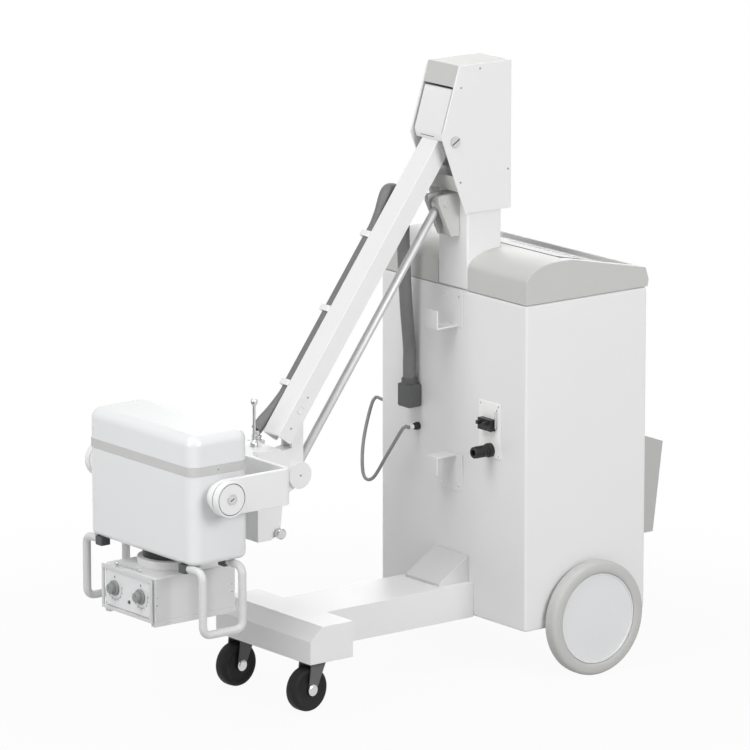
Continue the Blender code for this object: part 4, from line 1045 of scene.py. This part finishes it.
def make_conduit():
    x = -0.132
    first = on_arm(CLIP_FIRST, CONDUIT_UP, CONDUIT_X)
    rise = shifted([(x, -0.0195, 0.6323), (x, -0.0195, 0.6683), (x, -0.0195, 0.7043),
                    (-0.13, -0.03, 0.8), (-0.122, -0.044, 0.93),
                    (-0.108, -0.056, 1.01), (-0.08, -0.08, 1.062)])
    over = [on_arm(0.15, 0.012, -0.056), on_arm(0.205, 0.008, -0.047),
            on_arm(0.235, 0.0045, CONDUIT_X), first]
    hump = ribbed("conduit_rise", smooth_path(rise + over, 0.004), CONDUIT_R, HOSE)
    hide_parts("conduit_lower")
    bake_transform(hump)
    run_line = [first + (on_arm(CLIP_LAST, CONDUIT_UP, CONDUIT_X) - first) * k / 90 for k in range(91)]
    run = ribbed("conduit_run", run_line, CONDUIT_R, HOSE)
    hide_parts("conduit_upper")
    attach(run, "arm")
    end = shifted([(-0.045, -0.44, 0.664), (-0.045, -0.469, 0.637), (-0.045, -0.496, 0.616),
                   (-0.045, -0.512, 0.5995)])
    tail_line = smooth_path([on_arm(CLIP_LAST, CONDUIT_UP, CONDUIT_X)] + end, 0.004)
    tail = ribbed("conduit_tail", tail_line, 0.013, HOSE)
    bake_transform(tail)


def make_lead():
    """The thin grey lead that hangs from the cabinet's front."""
    route = smooth_path(shifted([
        (LEAD_X, -0.0163, LEAD_Z), (LEAD_X, -0.03, LEAD_Z), (LEAD_X, -0.044, LEAD_Z), (-0.158, -0.062, 0.455),
        (-0.212, -0.062, 0.39), (-0.262, -0.05, 0.39), (-0.3, -0.02, 0.455), (-0.316, 0.02, 0.54),
        (-0.296, EDGE_Y, EDGE_Z), (-0.286, EDGE_Y, EDGE_Z), (-0.2763, EDGE_Y, EDGE_Z)]), 0.006)
    lead = swept("sensor_lead", route, 0.004, LEAD, 20)
    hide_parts("sensor_cable")
    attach(lead, "machine")


make_conduit()
make_lead()


# Stage, lights and camera

def any_seen_ray(tree):
    """Adds the node any_of: 1 for camera, glossy and transmission rays, 0 for all others."""
    wire(tree, {
        "rays": "ShaderNodeLightPath",
        "either": maths("MAXIMUM"),
        "any_of": maths("MAXIMUM"),
    }, ["rays.Is Camera Ray > either.0", "rays.Is Glossy Ray > either.1", "either.0 > any_of.0",
        "rays.Is Transmission Ray > any_of.1"])


def make_stage():
    made = material("studio_floor", {
        "Base Color": (0.54, 0.54, 0.54, 1.0), "Roughness": 0.85, "Specular IOR Level": 0.1})
    any_seen_ray(made.node_tree)
    wire(made.node_tree, {
        "place": "ShaderNodeTexCoord",
        "far": ("ShaderNodeVectorMath", {"operation": "LENGTH"}, {}),
        "fade": ("ShaderNodeMapRange", {"interpolation_type": "SMOOTHSTEP"}, {
            "From Min": 0.7, "From Max": 1.8, "To Min": 0.94, "To Max": 1.0}),
        "white": ("ShaderNodeEmission", {}, {"Strength": 1.0}),
        "seen": maths("MULTIPLY"),
        "mix": "ShaderNodeMixShader",
    }, ["place.Object > far.0", "far.Value > fade.Value", "fade.Result > seen.0", "any_of.0 > seen.1",
        "seen.0 > mix.Fac", "Principled BSDF.BSDF > mix.1", "white.Emission > mix.2",
        "mix.Shader > Material Output.Surface"])
    corners = [Vector((x, y, 0.0)) for x, y in ((-9, -9), (9, -9), (9, 9), (-9, 9))]
    slab("floor", corners, (0, 0, -1), 0.02, made, 0.0)


def make_world():
    world = bpy.data.worlds.new("studio")
    bpy.context.scene.world = world
    world.use_nodes = True
    soft = world.node_tree.nodes["Background"]
    soft.inputs["Color"].default_value = (1.0, 1.0, 1.0, 1.0)
    soft.inputs["Strength"].default_value = 0.36
    any_seen_ray(world.node_tree)
    wire(world.node_tree, {
        "bright": ("ShaderNodeBackground", {}, {"Color": (1.0, 1.0, 1.0, 1.0), "Strength": 1.0}),
        "mix": "ShaderNodeMixShader",
    }, ["any_of.0 > mix.Fac", "Background.Background > mix.1", "bright.Background > mix.2",
        "mix.Shader > World Output.Surface"])


def area_light(name, place, aim, size, power):
    data = bpy.data.lights.new(name, "AREA")
    data.shape = "SQUARE"
    data.size = size
    data.energy = power
    lamp = link(name, data)
    lamp.location = place
    lamp.rotation_euler = (Vector(aim) - Vector(place)).to_track_quat("-Z", "Y").to_euler()


CAMERA_AT = Vector((10.6703, -8.2336, 3.7555))
CAMERA_AZIMUTH, CAMERA_ELEVATION = radians(52.304), radians(12.81)


def make_camera():
    back = Vector((sin(CAMERA_AZIMUTH) * cos(CAMERA_ELEVATION), -cos(CAMERA_AZIMUTH) * cos(CAMERA_ELEVATION),
                   sin(CAMERA_ELEVATION)))
    right = Vector((cos(CAMERA_AZIMUTH), sin(CAMERA_AZIMUTH), 0.0))
    up = back.cross(right)
    turn = Matrix((right, up, back)).transposed().to_4x4()
    data = bpy.data.cameras.new("camera")
    data.lens = 300.2
    data.sensor_width = 36.0
    data.clip_end = 60.0
    camera = link("camera", data)
    camera.matrix_world = Matrix.Translation(CAMERA_AT) @ turn
    bpy.context.scene.camera = camera


make_stage()
make_world()
area_light("key_light", (5.0, 0.4, 2.8), (0.0, 0.0, 0.7), 2.4, 135)
area_light("top_light", (0.5, -2.4, 4.2), (0.0, 0.0, 0.7), 2.4, 84)
area_light("head_fill", (0.3, -2.4, 1.3), (0.0, -0.5, 0.5), 1.2, 12)
area_light("rear_fill", (-3.5, 4.0, 2.6), (0.0, 0.0, 0.7), 3.0, 82)
make_camera()
bpy.context.scene.view_settings.view_transform = "Standard"
